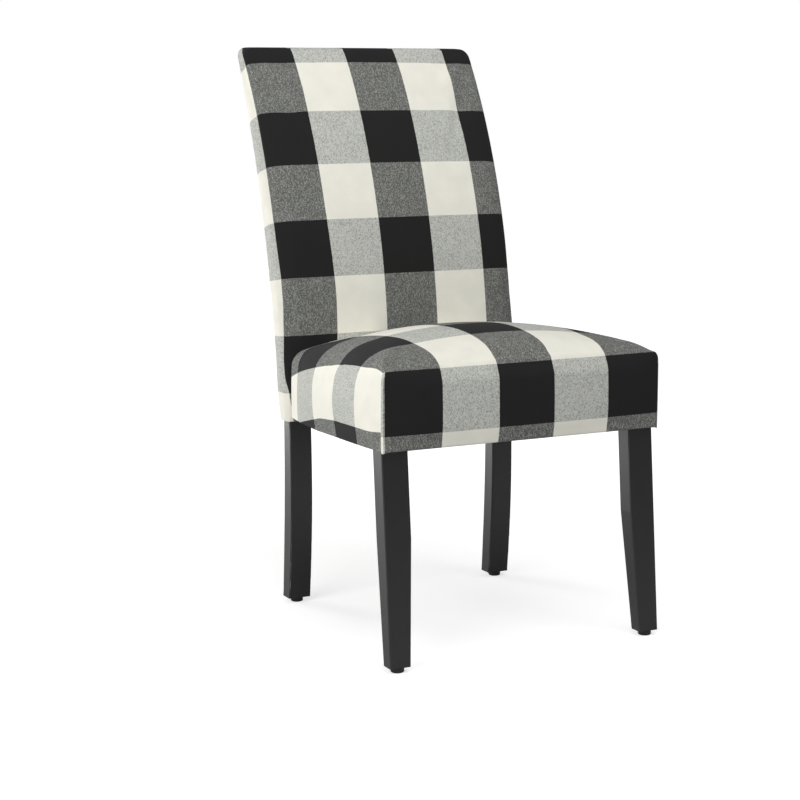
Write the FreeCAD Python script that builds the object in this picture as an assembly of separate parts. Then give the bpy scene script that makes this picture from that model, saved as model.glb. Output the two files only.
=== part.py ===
import FreeCAD, Part
import math
import os

# Upholstered parsons dining chair, in millimetres.
# X runs to the right seen from the front, Y to the rear and Z up. The origin is on the floor,
# under the middle of the chair's overall width and depth. The sitter faces -Y.
# A bolted-on seat box stands on two front legs, and a curved back stands on its own two posts,
# whose lower halves are the rear legs.

# Overall sizes
CHAIR_HEIGHT = 977.9
SEAT_WIDTH_FRONT = 508.0
SEAT_WIDTH_REAR = 434.0
SEAT_DEPTH = 427.8
SEAT_TO_BACK_GAP = 0.5

# Layers of the upholstery
CLOTH = 1.4
CLEARANCE = 0.3
WADDING = 4.0
BOARD = 3.0
BOARD_GAP = 0.6
STRAP = 1.5
DECK_CLOTH = 0.8
DUST_CLOTH = 0.6

# Back, as seen from the side
BACK_WIDTH = 460.8
BACK_LEAN_START = 400.0
BACK_LEAN_RADIUS = 1022.0
BACK_THICKNESS_LOW = 46.7
BACK_THICKNESS_MIDDLE = 67.6
BACK_THICKNESS_TOP = 47.9
BACK_LOW_Z = 364.0
BACK_MIDDLE_Z = 660.0
BACK_HEM_Z = 330.0
BACK_HEM_THICKNESS = 34.7
BACK_CORNER = 12.0
BACK_CROWN = 5.0
BACK_CROWN_START = 430.0
BACK_CROWN_FULL = 540.0
BACK_TOP_ROUND = 15.0
BACK_TOP_CORNER = 18.0
BACK_HEM_CURVE = 1.5
BACK_FOAM_START = 425.0
REAR_SEAM_SETBACK = 8.4

# Seat, as seen from the front and the side
SEAT_HEM_FRONT_Z = 351.0
SEAT_HEM_REAR_Z = 333.0
DECK_FRONT_Z = 428.0
DECK_REAR_Z = 400.0
SEAT_PLAN_BULGE = 4.0
SEAT_SIDE_BULGE = 8.0
FACE_DRAW_LOW = 1.0
FACE_MIDDLE_Z = 412.0
FACE_DRAW_HIGH = 3.0
FACE_HIGH_Z = 477.0
FACE_TURN = ((5.0, 484.4), (9.5, 489.6))
SEAT_CORNER = 7.5
SEAT_CORNER_EASE = 0.3
HEM_TURN = 24.0
LEAST_BOW = 0.4
OVERRUN = 12.0

# Crown of the seat, from just before its front face to its rear: distance behind the front face,
# height where the side starts to round over, height of the crown, radius of the rounding
SEAT_CROWN = (
    (-6.0, 466.5, 475.5, 8.5),
    (7.0, 467.5, 487.0, 13.0),
    (19.0, 468.0, 493.5, 18.0),
    (40.0, 468.0, 501.0, 24.0),
    (75.0, 467.0, 510.0, 24.0),
    (150.0, 463.0, 517.0, 28.0),
    (250.0, 455.0, 511.0, 28.0),
    (345.0, 443.0, 496.0, 28.0),
    (SEAT_DEPTH, 427.0, 480.0, 28.0),
)

# Slices that the back's form is drawn through: even steps, closer ones below the shoulder, and
# the angles of its rounded top
BACK_STEPS = 8
BACK_SHOULDER_SHARES = (0.6, 0.3, 0.1, 0.0)
BACK_TOP_ANGLES = (20.0, 40.0, 60.0, 75.0, 85.0)
BACK_CORNER_SHARE = 0.4

# Seat box
RAIL = 22.0
FRONT_PADDING = 15.5
SIDE_RAIL_FRONT_INSET = 3.8
SIDE_RAIL_REAR_INSET = 4.0
FRONT_BLOCK_REACH = 55.0
REAR_BLOCK_REACH = 60.0
BLOCK_HEIGHT = 34.0
BLOCK_BELOW_DECK = 22.0

# Front legs
GLIDE_HEIGHT = 9.0
FOOT_REACH = 15.2
LEG_INSET = 3.4
LEG_WIDTH = 46.2
LEG_DEPTH = 33.0
LEG_FOOT_WIDTH = 36.3
LEG_FOOT_DEPTH = 25.8
LEG_TAPER_START_Z = 210.0
LEG_ENTRY_Z = 350.0
LEG_EDGE = 2.5

# Posts of the back: setbacks of their front face behind the back's front line, and depths
POST_INSET = 6.9
POST_WIDTH = 41.5
POST_FOOT_SETBACK = 13.0
POST_KNEE_SETBACK = 1.3
POST_ENTRY_SETBACK = 5.4
POST_FOOT_DEPTH = 28.8
POST_KNEE_DEPTH = 30.8
POST_ENTRY_DEPTH = 25.6
POST_KNEE_Z = 175.0
POST_ENTRY_Z = 350.0
POST_HAUNCH_Z = 425.0
POST_TOP_FOAM = 22.9
BACK_FOAM_MIDDLE = 22.0
BACK_FOAM_TOP = 13.0

# Rails and straps of the back
BACK_RAIL = 24.0
TOP_RAIL_HEIGHT = 70.0
LUMBAR_RAIL_Z = 600.0
LUMBAR_RAIL_HEIGHT = 60.0
BOTTOM_RAIL_HEIGHT = 82.0
STRAP_WIDTH = 50.0
STRAP_END_MARGIN = 5.0
LOW_STRAP_COUNT = 2
HIGH_STRAP_COUNT = 3
SEAT_STRAPS_X = (-140.0, -70.0, 0.0, 70.0, 140.0)
SEAT_CROSS_STRAPS = (60.0, 140.0, 220.0, 300.0)
STRAP_LANDING = 16.0

# Hardware
DOWEL_RADIUS = 5.0
DOWEL_LENGTH = 50.0
DOWEL_DEPTH_IN_LEG = 22.0
DOWEL_DEPTH_IN_SIDE_RAIL = 15.4
DOWEL_SHARES = (0.25, 0.75)
DOWEL_FIT = 0.15
BOLT_RADIUS = 4.0
BOLT_FIT = 0.4
BOLT_HEAD_RADIUS = 6.5
BOLT_HEAD_HEIGHT = 8.0
BOLT_SOCKET_RADIUS = 3.0
BOLT_SOCKET_DEPTH = 4.0
WASHER_RADIUS = 9.0
WASHER = 1.6
SEAT_BOLT_MARGIN = 9.5
SEAT_BOLT_SPACING = 30.0
INSERT_RADIUS = 5.5
INSERT_LENGTH = 14.0
LEG_BOLT_LENGTH = 75.0
LEG_BOLT_IN_LEG = 32.0
NUT_FLATS = 13.0
NUT_HEIGHT = 6.5
SCREW_RADIUS = 2.0
SCREW_HEAD_RADIUS = 4.0
SCREW_HEAD = 2.5
SCREW_LENGTH = 34.0
SCREW_DEPTH_IN_BLOCK = 14.3
SCREW_SHARE = 0.62
GLIDE_RADIUS = 11.0
GLIDE_EDGE = 2.5
NAIL_RADIUS = 1.4
NAIL_HEAD_RADIUS = 4.0
NAIL_HEAD = 1.2
NAIL_HEAD_Z = 1.8
NAIL_LENGTH = 24.0
STAPLE_CROWN = 10.0
STAPLE_WIRE = 0.8
STAPLE_PITCH = 62.0
DUST_INSET = 9.0

# Lower edges of the padding
WADDING_ABOVE_DECK = 11.0
SIDE_PAD_ABOVE_HEM = 6.0

# Places worked out from the sizes above. The seat's front face is found first, and the whole
# chair is centred between its front feet and the rear of its top.


def lean(z):
    """How far the back's front face lies behind its lowest part, at a height."""
    rise = max(z - BACK_LEAN_START, 0.0)
    return BACK_LEAN_RADIUS - math.sqrt(BACK_LEAN_RADIUS ** 2 - rise ** 2)


BACK_SHOULDER_Z = CHAIR_HEIGHT - BACK_TOP_ROUND
POST_TOP_Z = CHAIR_HEIGHT - POST_TOP_FOAM
CHAIR_DEPTH = (FOOT_REACH + SEAT_DEPTH + SEAT_TO_BACK_GAP + lean(BACK_SHOULDER_Z)
               + BACK_THICKNESS_TOP)
FOOT_FRONT = -CHAIR_DEPTH / 2
SEAT_FRONT = FOOT_FRONT + FOOT_REACH
SEAT_REAR = SEAT_FRONT + SEAT_DEPTH
BACK_FRONT = SEAT_REAR + SEAT_TO_BACK_GAP
LINER = CLOTH + CLEARANCE
RAIL_FRONT = SEAT_FRONT + FRONT_PADDING
RAIL_REAR = SEAT_REAR - LINER - CLEARANCE
LEG_REAR = RAIL_FRONT + LEG_DEPTH
LEG_OUTER_X = SEAT_WIDTH_FRONT / 2 - LEG_INSET
LEG_INNER_X = LEG_OUTER_X - LEG_WIDTH
POST_OUTER_X = BACK_WIDTH / 2 - POST_INSET
POST_INNER_X = POST_OUTER_X - POST_WIDTH
BACK_RAIL_FRONT = BACK_FRONT + LINER + CLEARANCE
BOTTOM_RAIL_Z = BACK_HEM_Z + LINER
TOP_RAIL_Z = POST_TOP_Z - TOP_RAIL_HEIGHT
SEAT_HEM_SLOPE = (SEAT_HEM_REAR_Z - SEAT_HEM_FRONT_Z) / SEAT_DEPTH
DECK_SLOPE = (DECK_REAR_Z - DECK_FRONT_Z) / SEAT_DEPTH
FAR = CHAIR_HEIGHT


# Small geometry helpers


def point(x, y, z):
    return FreeCAD.Vector(x, y, z)


def line(start, end):
    return Part.LineSegment(start, end).toShape()


def arc(start, middle, end):
    return Part.Arc(start, middle, end).toShape()


def mirrored(shape):
    """The same piece on the chair's other side."""
    return shape.mirror(point(0, 0, 0), point(1, 0, 0))


def cut_all(shape, tools):
    for tool in tools:
        shape = shape.cut(tool)
    return shape


def plan_prism(corners, low, high):
    """Upright prism over a polygon of (x, y) corners."""
    outline = [point(x, y, low) for x, y in corners]
    face = Part.Face(Part.makePolygon(outline + outline[:1]))
    return face.extrude(point(0, 0, high - low))


def side_prism(edges, low_x, high_x):
    """Prism across the chair over a closed outline in the plane x = 0."""
    face = Part.Face(Part.Wire(Part.__sortEdges__(edges)))
    solid = face.extrude(point(high_x - low_x, 0, 0))
    solid.translate(point(low_x, 0, 0))
    return solid


def side_polygon(corners, low_x, high_x):
    """Prism across the chair over a polygon of (y, z) corners."""
    outline = [point(0, y, z) for y, z in corners]
    edges = [line(a, b) for a, b in zip(outline, outline[1:] + outline[:1])]
    return side_prism(edges, low_x, high_x)


def circle_through(first, second, third):
    """Centre y, centre z and radius of the circle through three (y, z) points."""
    circle = arc(point(0, *first), point(0, *second), point(0, *third)).Curve
    return circle.Center.y, circle.Center.z, circle.Radius


def on_circle(circle, z):
    """Where a circle's front half crosses a height."""
    centre_y, centre_z, radius = circle
    return centre_y - math.sqrt(radius ** 2 - (z - centre_z) ** 2)


def side_arc(circle, low, high):
    """Arc of such a circle between two heights, in the plane x = 0."""
    middle = (low + high) / 2
    return arc(*[point(0, on_circle(circle, z), z) for z in (low, middle, high)])


def hem_z(y):
    return SEAT_HEM_FRONT_Z + SEAT_HEM_SLOPE * (y - SEAT_FRONT)


def deck_z(y):
    return DECK_FRONT_Z + DECK_SLOPE * (y - SEAT_FRONT)


def between(low, high):
    """Slab across the seat between two sloping levels, each a function of y and a rise."""
    ends = (SEAT_FRONT - OVERRUN, SEAT_REAR + OVERRUN)
    corners = [(y, low[0](y) + low[1]) for y in ends]
    corners += [(y, high[0](y) + high[1]) for y in reversed(ends)]
    return side_polygon(corners, -FAR, FAR)


def above(level, rise):
    """All of the seat over a sloping level."""
    return between((level, rise), (level, FAR))


# Outer forms of the seat and the back


def seat_half_width(y):
    """Half the seat's width along its hem, with a gentle outward curve."""
    share = (y - SEAT_FRONT) / SEAT_DEPTH
    straight = (SEAT_WIDTH_FRONT + (SEAT_WIDTH_REAR - SEAT_WIDTH_FRONT) * share) / 2
    return straight + 4 * SEAT_PLAN_BULGE * share * (1 - share)


def seat_section(behind, shoulder, crown, radius, inset):
    """Slice of the seat: flat below, sides bowed out, top a three-centred arch."""
    y = SEAT_FRONT + inset + behind * (SEAT_DEPTH - 2 * inset) / SEAT_DEPTH
    share = max(behind, 0.0) / SEAT_DEPTH
    half = seat_half_width(SEAT_FRONT + behind) - inset - LEAST_BOW
    bow = LEAST_BOW + 4 * SEAT_SIDE_BULGE * share * (1 - share)
    low = hem_z(y) - OVERRUN
    top = crown - inset
    turn = radius - inset
    rise = top - shoulder
    big = ((half - turn) ** 2 + rise ** 2 - turn ** 2) / (2 * (rise - turn))
    lift = math.atan2(shoulder - (top - big), half - turn)
    meet_x = half - turn + turn * math.cos(lift)
    meet_z = shoulder + turn * math.sin(lift)
    mid_x = half - turn + turn * math.cos(lift / 2)
    mid_z = shoulder + turn * math.sin(lift / 2)
    mid_side = (low + shoulder) / 2
    edges = [line(point(-half, y, low), point(half, y, low))]
    edges.append(arc(point(half, y, low), point(half + bow, y, mid_side), point(half, y, shoulder)))
    edges.append(arc(point(half, y, shoulder), point(mid_x, y, mid_z), point(meet_x, y, meet_z)))
    edges.append(arc(point(meet_x, y, meet_z), point(0, y, top), point(-meet_x, y, meet_z)))
    edges.append(arc(point(-meet_x, y, meet_z), point(-mid_x, y, mid_z), point(-half, y, shoulder)))
    edges.append(arc(point(-half, y, shoulder), point(-half - bow, y, mid_side), point(-half, y, low)))
    return Part.Wire(edges)


def seat_face(inset):
    """Everything behind the seat's front face, which is crowned and rolls over into the top."""
    front = SEAT_FRONT + inset
    low = point(0, front + FACE_DRAW_LOW, SEAT_HEM_FRONT_Z - OVERRUN)
    high = point(0, front + FACE_DRAW_HIGH, FACE_HIGH_Z - inset)
    turn = [point(0, front + behind, z - inset) for behind, z in FACE_TURN]
    top = point(0, turn[1].y + FAR, turn[1].z + FAR)
    far = point(0, top.y, low.z)
    edges = [arc(low, point(0, front, FACE_MIDDLE_Z), high), arc(high, *turn)]
    edges += [line(turn[1], top), line(top, far), line(far, low)]
    return side_prism(edges, -FAR, FAR)


def seat_corners(inset):
    """Everything inside the seat's two rounded front corners."""
    front = SEAT_FRONT + inset - SEAT_CORNER_EASE
    side = SEAT_WIDTH_FRONT / 2 - inset + SEAT_CORNER_EASE
    r = SEAT_CORNER
    t = r * (1 - math.sqrt(0.5))
    right = [point(side - r, front, 0), point(side - t, front + t, 0), point(side, front + r, 0)]
    right += [point(side + FAR, front + FAR, 0)]
    left = [point(-p.x, p.y, 0) for p in right]
    edges = [line(left[0], right[0]), arc(*right[:3]), line(right[2], right[3])]
    edges += [line(right[3], left[3]), line(left[3], left[2]), arc(left[2], left[1], left[0])]
    face = Part.Face(Part.Wire(edges))
    return face.extrude(point(0, 0, CHAIR_HEIGHT))


def seat_form(inset, hem_rise):
    """The seat's crowned form, drawn in all round and cut off above its hem."""
    sections = [seat_section(*station, inset) for station in SEAT_CROWN]
    body = Part.makeLoft(sections, True, False)
    body = body.common(seat_face(inset)).common(seat_corners(inset))
    return body.common(above(hem_z, hem_rise))


BACK_REAR_CIRCLE = circle_through(
    (BACK_FRONT + BACK_THICKNESS_LOW, BACK_LOW_Z),
    (BACK_FRONT + lean(BACK_MIDDLE_Z) + BACK_THICKNESS_MIDDLE, BACK_MIDDLE_Z),
    (BACK_FRONT + lean(BACK_SHOULDER_Z) + BACK_THICKNESS_TOP, BACK_SHOULDER_Z))


def back_front(z):
    return BACK_FRONT + lean(z)


def back_rear(z):
    """The back's rear face, which draws in to the posts at its hem."""
    if z < BACK_LOW_Z:
        share = (BACK_LOW_Z - z) / (BACK_LOW_Z - BACK_HEM_Z)
        drawn_in = BACK_THICKNESS_LOW - BACK_HEM_THICKNESS
        return BACK_FRONT + BACK_THICKNESS_LOW - drawn_in * share ** BACK_HEM_CURVE
    return on_circle(BACK_REAR_CIRCLE, z)


def back_section(z, half, front, rear, crown):
    """Level slice of the back: crowned front, straight sides and rear, round corners."""
    corner = min(BACK_CORNER, BACK_CORNER_SHARE * (rear - front - crown))
    turn = corner * (1 - math.sqrt(0.5))
    inner = half - corner
    edge = front + crown
    right = [point(inner, edge, z), point(half - turn, edge + turn, z), point(half, edge + corner, z)]
    right += [point(half, rear - corner, z), point(half - turn, rear - turn, z), point(inner, rear, z)]
    left = [point(-p.x, p.y, p.z) for p in right]
    edges = [arc(left[0], point(0, front, z), right[0])]
    edges.append(arc(*right[:3]))
    edges.append(line(right[2], right[3]))
    edges.append(arc(*right[3:]))
    edges.append(line(right[5], left[5]))
    edges.append(arc(left[5], left[4], left[3]))
    edges.append(line(left[3], left[2]))
    edges.append(arc(left[2], left[1], left[0]))
    return Part.Wire(edges)


def back_crown(z):
    """Crown of the back's front face, which fades out where the seat meets it."""
    share = (z - BACK_CROWN_START) / (BACK_CROWN_FULL - BACK_CROWN_START)
    share = min(max(share, 0.0), 1.0)
    return LEAST_BOW + (BACK_CROWN - LEAST_BOW) * share ** 2 * (3 - 2 * share)


def back_form(inset):
    """The back's curved form, drawn in all round, from its hem to its rounded top."""
    half = BACK_WIDTH / 2 - inset
    hem = BACK_HEM_Z + inset
    step = (BACK_SHOULDER_Z - BACK_LOW_Z) / BACK_STEPS
    levels = [hem, (hem + BACK_LOW_Z) / 2]
    levels += [BACK_LOW_Z + step * i for i in range(BACK_STEPS)]
    levels += [BACK_SHOULDER_Z - step * share for share in BACK_SHOULDER_SHARES]
    sections = [back_section(z, half, back_front(z) + inset, back_rear(z) - inset, back_crown(z))
                for z in levels]
    rise = (BACK_TOP_ROUND - inset) / math.sin(math.radians(BACK_TOP_ANGLES[-1]))
    for angle in BACK_TOP_ANGLES:
        turn = math.radians(angle)
        z = BACK_SHOULDER_Z + rise * math.sin(turn)
        drawn = 1 - math.cos(turn)
        front = back_front(z) + inset + BACK_TOP_ROUND * drawn / 2
        rear = back_rear(BACK_SHOULDER_Z) - inset - BACK_TOP_ROUND * drawn
        narrow = half - BACK_TOP_CORNER * drawn
        crown = LEAST_BOW + BACK_CROWN * math.cos(turn)
        sections.append(back_section(z, narrow, front, rear, crown))
    return Part.makeLoft(sections, True, False)


# Posts, whose lower halves are the rear legs


def rear_leg_faces(z):
    """Front and rear of the rear leg at a height."""
    return on_circle(LEG_FRONT_CIRCLE, z), on_circle(LEG_REAR_CIRCLE, z)


LEG_FRONT_CIRCLE = circle_through(
    (BACK_FRONT + POST_FOOT_SETBACK, GLIDE_HEIGHT),
    (BACK_FRONT + POST_KNEE_SETBACK, POST_KNEE_Z),
    (BACK_FRONT + POST_ENTRY_SETBACK, POST_ENTRY_Z))
LEG_REAR_CIRCLE = circle_through(
    (BACK_FRONT + POST_FOOT_SETBACK + POST_FOOT_DEPTH, GLIDE_HEIGHT),
    (BACK_FRONT + POST_KNEE_SETBACK + POST_KNEE_DEPTH, POST_KNEE_Z),
    (BACK_FRONT + POST_ENTRY_SETBACK + POST_ENTRY_DEPTH, POST_ENTRY_Z))
STILE_MIDDLE_Z = (POST_ENTRY_Z + POST_TOP_Z) / 2
STILE_FRONT_CIRCLE = circle_through(
    (BACK_FRONT + POST_ENTRY_SETBACK, POST_ENTRY_Z),
    (back_front(STILE_MIDDLE_Z) + BACK_FOAM_MIDDLE, STILE_MIDDLE_Z),
    (back_front(POST_TOP_Z) + BACK_FOAM_TOP, POST_TOP_Z))


def board_front(z):
    """Front of the board that shapes the outside of the back."""
    return back_rear(z) - CLOTH - BOARD_GAP - BOARD


STILE_REAR_CIRCLE = circle_through(
    (board_front(POST_HAUNCH_Z) - CLEARANCE, POST_HAUNCH_Z),
    (board_front(BACK_MIDDLE_Z) - CLEARANCE, BACK_MIDDLE_Z),
    (board_front(POST_TOP_Z) - CLEARANCE, POST_TOP_Z))


def leg_profile():
    """Side outline of the rear leg, a sabre curve with its knee forwards."""
    foot_front, foot_rear = rear_leg_faces(GLIDE_HEIGHT)
    top_front, top_rear = rear_leg_faces(POST_ENTRY_Z)
    return [
        side_arc(LEG_FRONT_CIRCLE, GLIDE_HEIGHT, POST_ENTRY_Z),
        line(point(0, top_front, POST_ENTRY_Z), point(0, top_rear, POST_ENTRY_Z)),
        side_arc(LEG_REAR_CIRCLE, GLIDE_HEIGHT, POST_ENTRY_Z),
        line(point(0, foot_rear, GLIDE_HEIGHT), point(0, foot_front, GLIDE_HEIGHT)),
    ]


def stile_profile():
    """Side outline of the hidden upper half of a post."""
    low_front, low_rear = rear_leg_faces(POST_ENTRY_Z)
    haunch = on_circle(STILE_REAR_CIRCLE, POST_HAUNCH_Z)
    top_front = on_circle(STILE_FRONT_CIRCLE, POST_TOP_Z)
    top_rear = on_circle(STILE_REAR_CIRCLE, POST_TOP_Z)
    return [
        side_arc(STILE_FRONT_CIRCLE, POST_ENTRY_Z, POST_TOP_Z),
        line(point(0, top_front, POST_TOP_Z), point(0, top_rear, POST_TOP_Z)),
        side_arc(STILE_REAR_CIRCLE, POST_HAUNCH_Z, POST_TOP_Z),
        line(point(0, haunch, POST_HAUNCH_Z), point(0, low_rear, POST_ENTRY_Z)),
        line(point(0, low_rear, POST_ENTRY_Z), point(0, low_front, POST_ENTRY_Z)),
    ]


def long_edges(solid):
    """The edges that run up a leg, away from its flat ends."""
    return [e for e in solid.Edges if e.BoundBox.ZLength > POST_KNEE_Z]


def back_post():
    leg = side_prism(leg_profile(), POST_INNER_X, POST_OUTER_X)
    leg = leg.makeFillet(LEG_EDGE, long_edges(leg))
    stile = side_prism(stile_profile(), POST_INNER_X, POST_OUTER_X)
    return leg.fuse(stile).removeSplitter()


def post_centre(z):
    """Middle of a post's depth at a height above the seat."""
    front = on_circle(STILE_FRONT_CIRCLE, z)
    return front + BACK_RAIL / 2


# Front legs


def rounded_section(low_x, high_x, front, rear, z):
    """Level slice of a squared leg with eased corners."""
    r = LEG_EDGE
    t = r * (1 - math.sqrt(0.5))
    edges = [line(point(low_x + r, front, z), point(high_x - r, front, z))]
    edges.append(arc(point(high_x - r, front, z), point(high_x - t, front + t, z),
                     point(high_x, front + r, z)))
    edges.append(line(point(high_x, front + r, z), point(high_x, rear - r, z)))
    edges.append(arc(point(high_x, rear - r, z), point(high_x - t, rear - t, z),
                     point(high_x - r, rear, z)))
    edges.append(line(point(high_x - r, rear, z), point(low_x + r, rear, z)))
    edges.append(arc(point(low_x + r, rear, z), point(low_x + t, rear - t, z),
                     point(low_x, rear - r, z)))
    edges.append(line(point(low_x, rear - r, z), point(low_x, front + r, z)))
    edges.append(arc(point(low_x, front + r, z), point(low_x + t, front + t, z),
                     point(low_x + r, front, z)))
    return Part.Wire(edges)


def rake(z):
    """Front face of a front leg, which leans forwards to its foot."""
    share = (LEG_ENTRY_Z - z) / (LEG_ENTRY_Z - GLIDE_HEIGHT)
    return RAIL_FRONT + (FOOT_FRONT - RAIL_FRONT) * max(share, 0.0)


def front_leg():
    top = deck_z(LEG_REAR) - CLEARANCE
    taper = LEG_TAPER_START_Z
    foot = rake(GLIDE_HEIGHT)
    sections = [
        rounded_section(LEG_OUTER_X - LEG_FOOT_WIDTH, LEG_OUTER_X, foot, foot + LEG_FOOT_DEPTH,
                        GLIDE_HEIGHT),
        rounded_section(LEG_INNER_X, LEG_OUTER_X, rake(taper), rake(taper) + LEG_DEPTH, taper),
        rounded_section(LEG_INNER_X, LEG_OUTER_X, RAIL_FRONT, LEG_REAR, LEG_ENTRY_Z),
        rounded_section(LEG_INNER_X, LEG_OUTER_X, RAIL_FRONT, LEG_REAR, top),
    ]
    return Part.makeLoft(sections, True, True)


# Seat box


def rail_outer_x(y):
    """Outer face of a side rail, which follows the seat's taper."""
    front = SEAT_WIDTH_FRONT / 2 - SIDE_RAIL_FRONT_INSET
    rear = SEAT_WIDTH_REAR / 2 - SIDE_RAIL_REAR_INSET
    return front + (rear - front) * (y - LEG_REAR) / (RAIL_REAR - LEG_REAR)


def rail_inner_x(y):
    return rail_outer_x(y) - RAIL


RAIL_SLAB = between((hem_z, LINER), (deck_z, 0.0))


def front_rail():
    corners = [(-LEG_INNER_X, RAIL_FRONT), (LEG_INNER_X, RAIL_FRONT)]
    corners += [(LEG_INNER_X, RAIL_FRONT + RAIL), (-LEG_INNER_X, RAIL_FRONT + RAIL)]
    return plan_prism(corners, 0, CHAIR_HEIGHT).common(RAIL_SLAB)


def side_rail():
    corners = [(rail_inner_x(LEG_REAR), LEG_REAR), (rail_outer_x(LEG_REAR), LEG_REAR)]
    corners += [(rail_outer_x(RAIL_REAR), RAIL_REAR), (rail_inner_x(RAIL_REAR), RAIL_REAR)]
    return plan_prism(corners, 0, CHAIR_HEIGHT).common(RAIL_SLAB)


def rear_rail():
    front = RAIL_REAR - RAIL
    corners = [(-rail_inner_x(front), front), (rail_inner_x(front), front)]
    corners += [(rail_inner_x(RAIL_REAR), RAIL_REAR), (-rail_inner_x(RAIL_REAR), RAIL_REAR)]
    return plan_prism(corners, 0, CHAIR_HEIGHT).common(RAIL_SLAB)


def front_block():
    """Glued corner block behind a front leg, notched round the leg's corner."""
    rail_face = RAIL_FRONT + RAIL
    end_y = LEG_REAR + FRONT_BLOCK_REACH
    corners = [(LEG_INNER_X - FRONT_BLOCK_REACH, rail_face), (LEG_INNER_X, rail_face)]
    corners += [(LEG_INNER_X, LEG_REAR), (rail_inner_x(LEG_REAR), LEG_REAR)]
    corners += [(rail_inner_x(end_y), end_y)]
    top = deck_z(end_y) - BLOCK_BELOW_DECK
    return plan_prism(corners, top - BLOCK_HEIGHT, top)


def rear_block():
    rail_face = RAIL_REAR - RAIL
    start_y = rail_face - REAR_BLOCK_REACH
    corners = [(rail_inner_x(start_y), start_y), (rail_inner_x(rail_face), rail_face)]
    corners += [(rail_inner_x(rail_face) - REAR_BLOCK_REACH, rail_face)]
    top = deck_z(rail_face) - BLOCK_BELOW_DECK / 2
    return plan_prism(corners, top - BLOCK_HEIGHT, top)


# Rails, straps and board of the back


def leaning_rail(low, high):
    """Rail between the posts, flush with their front at its height."""
    corners = [(on_circle(STILE_FRONT_CIRCLE, z), z) for z in (low, high)]
    corners += [(y + BACK_RAIL, z) for y, z in reversed(corners)]
    return side_polygon(corners, -POST_INNER_X, POST_INNER_X)


def back_top_rail():
    return leaning_rail(TOP_RAIL_Z, POST_TOP_Z)


def back_lumbar_rail():
    return leaning_rail(LUMBAR_RAIL_Z, LUMBAR_RAIL_Z + LUMBAR_RAIL_HEIGHT)


def back_bottom_rail():
    corners = [(BACK_RAIL_FRONT, BOTTOM_RAIL_Z), (BACK_RAIL_FRONT + BACK_RAIL, BOTTOM_RAIL_Z)]
    top = BOTTOM_RAIL_Z + BOTTOM_RAIL_HEIGHT
    corners += [(BACK_RAIL_FRONT + BACK_RAIL, top), (BACK_RAIL_FRONT, top)]
    return side_polygon(corners, -POST_INNER_X, POST_INNER_X)


def strap_middles(low, high, count):
    """Middles of straps spread evenly between two rails."""
    return [low + (high - low) * (i + 1) / (count + 1) for i in range(count)]


def back_strap(middle):
    """Strap across the front of the posts, which follows their curve."""
    levels = [middle - STRAP_WIDTH / 2, middle, middle + STRAP_WIDTH / 2]
    rear = [point(0, on_circle(STILE_FRONT_CIRCLE, z) - CLEARANCE, z) for z in levels]
    front = [p - point(0, STRAP, 0) for p in rear]
    edges = [arc(*rear), line(rear[2], front[2]), arc(*front), line(front[0], rear[0])]
    half = POST_OUTER_X - STRAP_END_MARGIN
    return side_prism(edges, -half, half)


def back_straps():
    middles = strap_middles(BOTTOM_RAIL_Z + BOTTOM_RAIL_HEIGHT, LUMBAR_RAIL_Z, LOW_STRAP_COUNT)
    middles += strap_middles(LUMBAR_RAIL_Z + LUMBAR_RAIL_HEIGHT, TOP_RAIL_Z, HIGH_STRAP_COUNT)
    return [back_strap(z) for z in middles]


def seat_straps():
    """Straps from the front rail to the rear rail, and cross straps over them."""
    straps = []
    start = RAIL_FRONT + RAIL - STRAP_LANDING
    end = RAIL_REAR - RAIL + STRAP_LANDING
    for x in SEAT_STRAPS_X:
        corners = [(x - STRAP_WIDTH / 2, start), (x + STRAP_WIDTH / 2, start)]
        corners += [(x + STRAP_WIDTH / 2, end), (x - STRAP_WIDTH / 2, end)]
        level = between((deck_z, CLEARANCE), (deck_z, CLEARANCE + STRAP))
        straps.append(plan_prism(corners, 0, CHAIR_HEIGHT).common(level))
    for behind in SEAT_CROSS_STRAPS:
        front = RAIL_FRONT + behind
        rear = front + STRAP_WIDTH
        reach = [rail_inner_x(y) + STRAP_LANDING for y in (front, rear)]
        corners = [(-reach[0], front), (reach[0], front), (reach[1], rear), (-reach[1], rear)]
        level = between((deck_z, CLEARANCE * 2 + STRAP), (deck_z, CLEARANCE * 2 + STRAP * 2))
        straps.append(plan_prism(corners, 0, CHAIR_HEIGHT).common(level))
    return straps


WEB_HEIGHT = STRAP * 2 + CLEARANCE * 3


def deck_zone(margin):
    """Plan of the webbed area, drawn in by a margin from where the straps land."""
    front = RAIL_FRONT + RAIL - STRAP_LANDING + margin
    rear = RAIL_REAR - RAIL + STRAP_LANDING - margin
    half = [rail_inner_x(y) + STRAP_LANDING - margin for y in (front, rear)]
    return [(-half[0], front), (half[0], front), (half[1], rear), (-half[1], rear)]


def deck_cloth():
    level = between((deck_z, WEB_HEIGHT), (deck_z, WEB_HEIGHT + DECK_CLOTH))
    return plan_prism(deck_zone(CLEARANCE), 0, CHAIR_HEIGHT).common(level)


def outside_board():
    """Thin board behind the posts, which gives the outside of the back its curve."""
    form = back_form(CLOTH + BOARD_GAP)
    front = [point(0, board_front(z), z) for z in (POST_HAUNCH_Z, BACK_MIDDLE_Z, POST_TOP_Z)]
    low, high = front[0].z, front[2].z
    far = point(0, FAR, low), point(0, FAR, high)
    edges = [arc(*front), line(front[2], far[1]), line(far[1], far[0]), line(far[0], front[0])]
    return form.common(side_prism(edges, -POST_OUTER_X, POST_OUTER_X))


# Padding and covers


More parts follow.
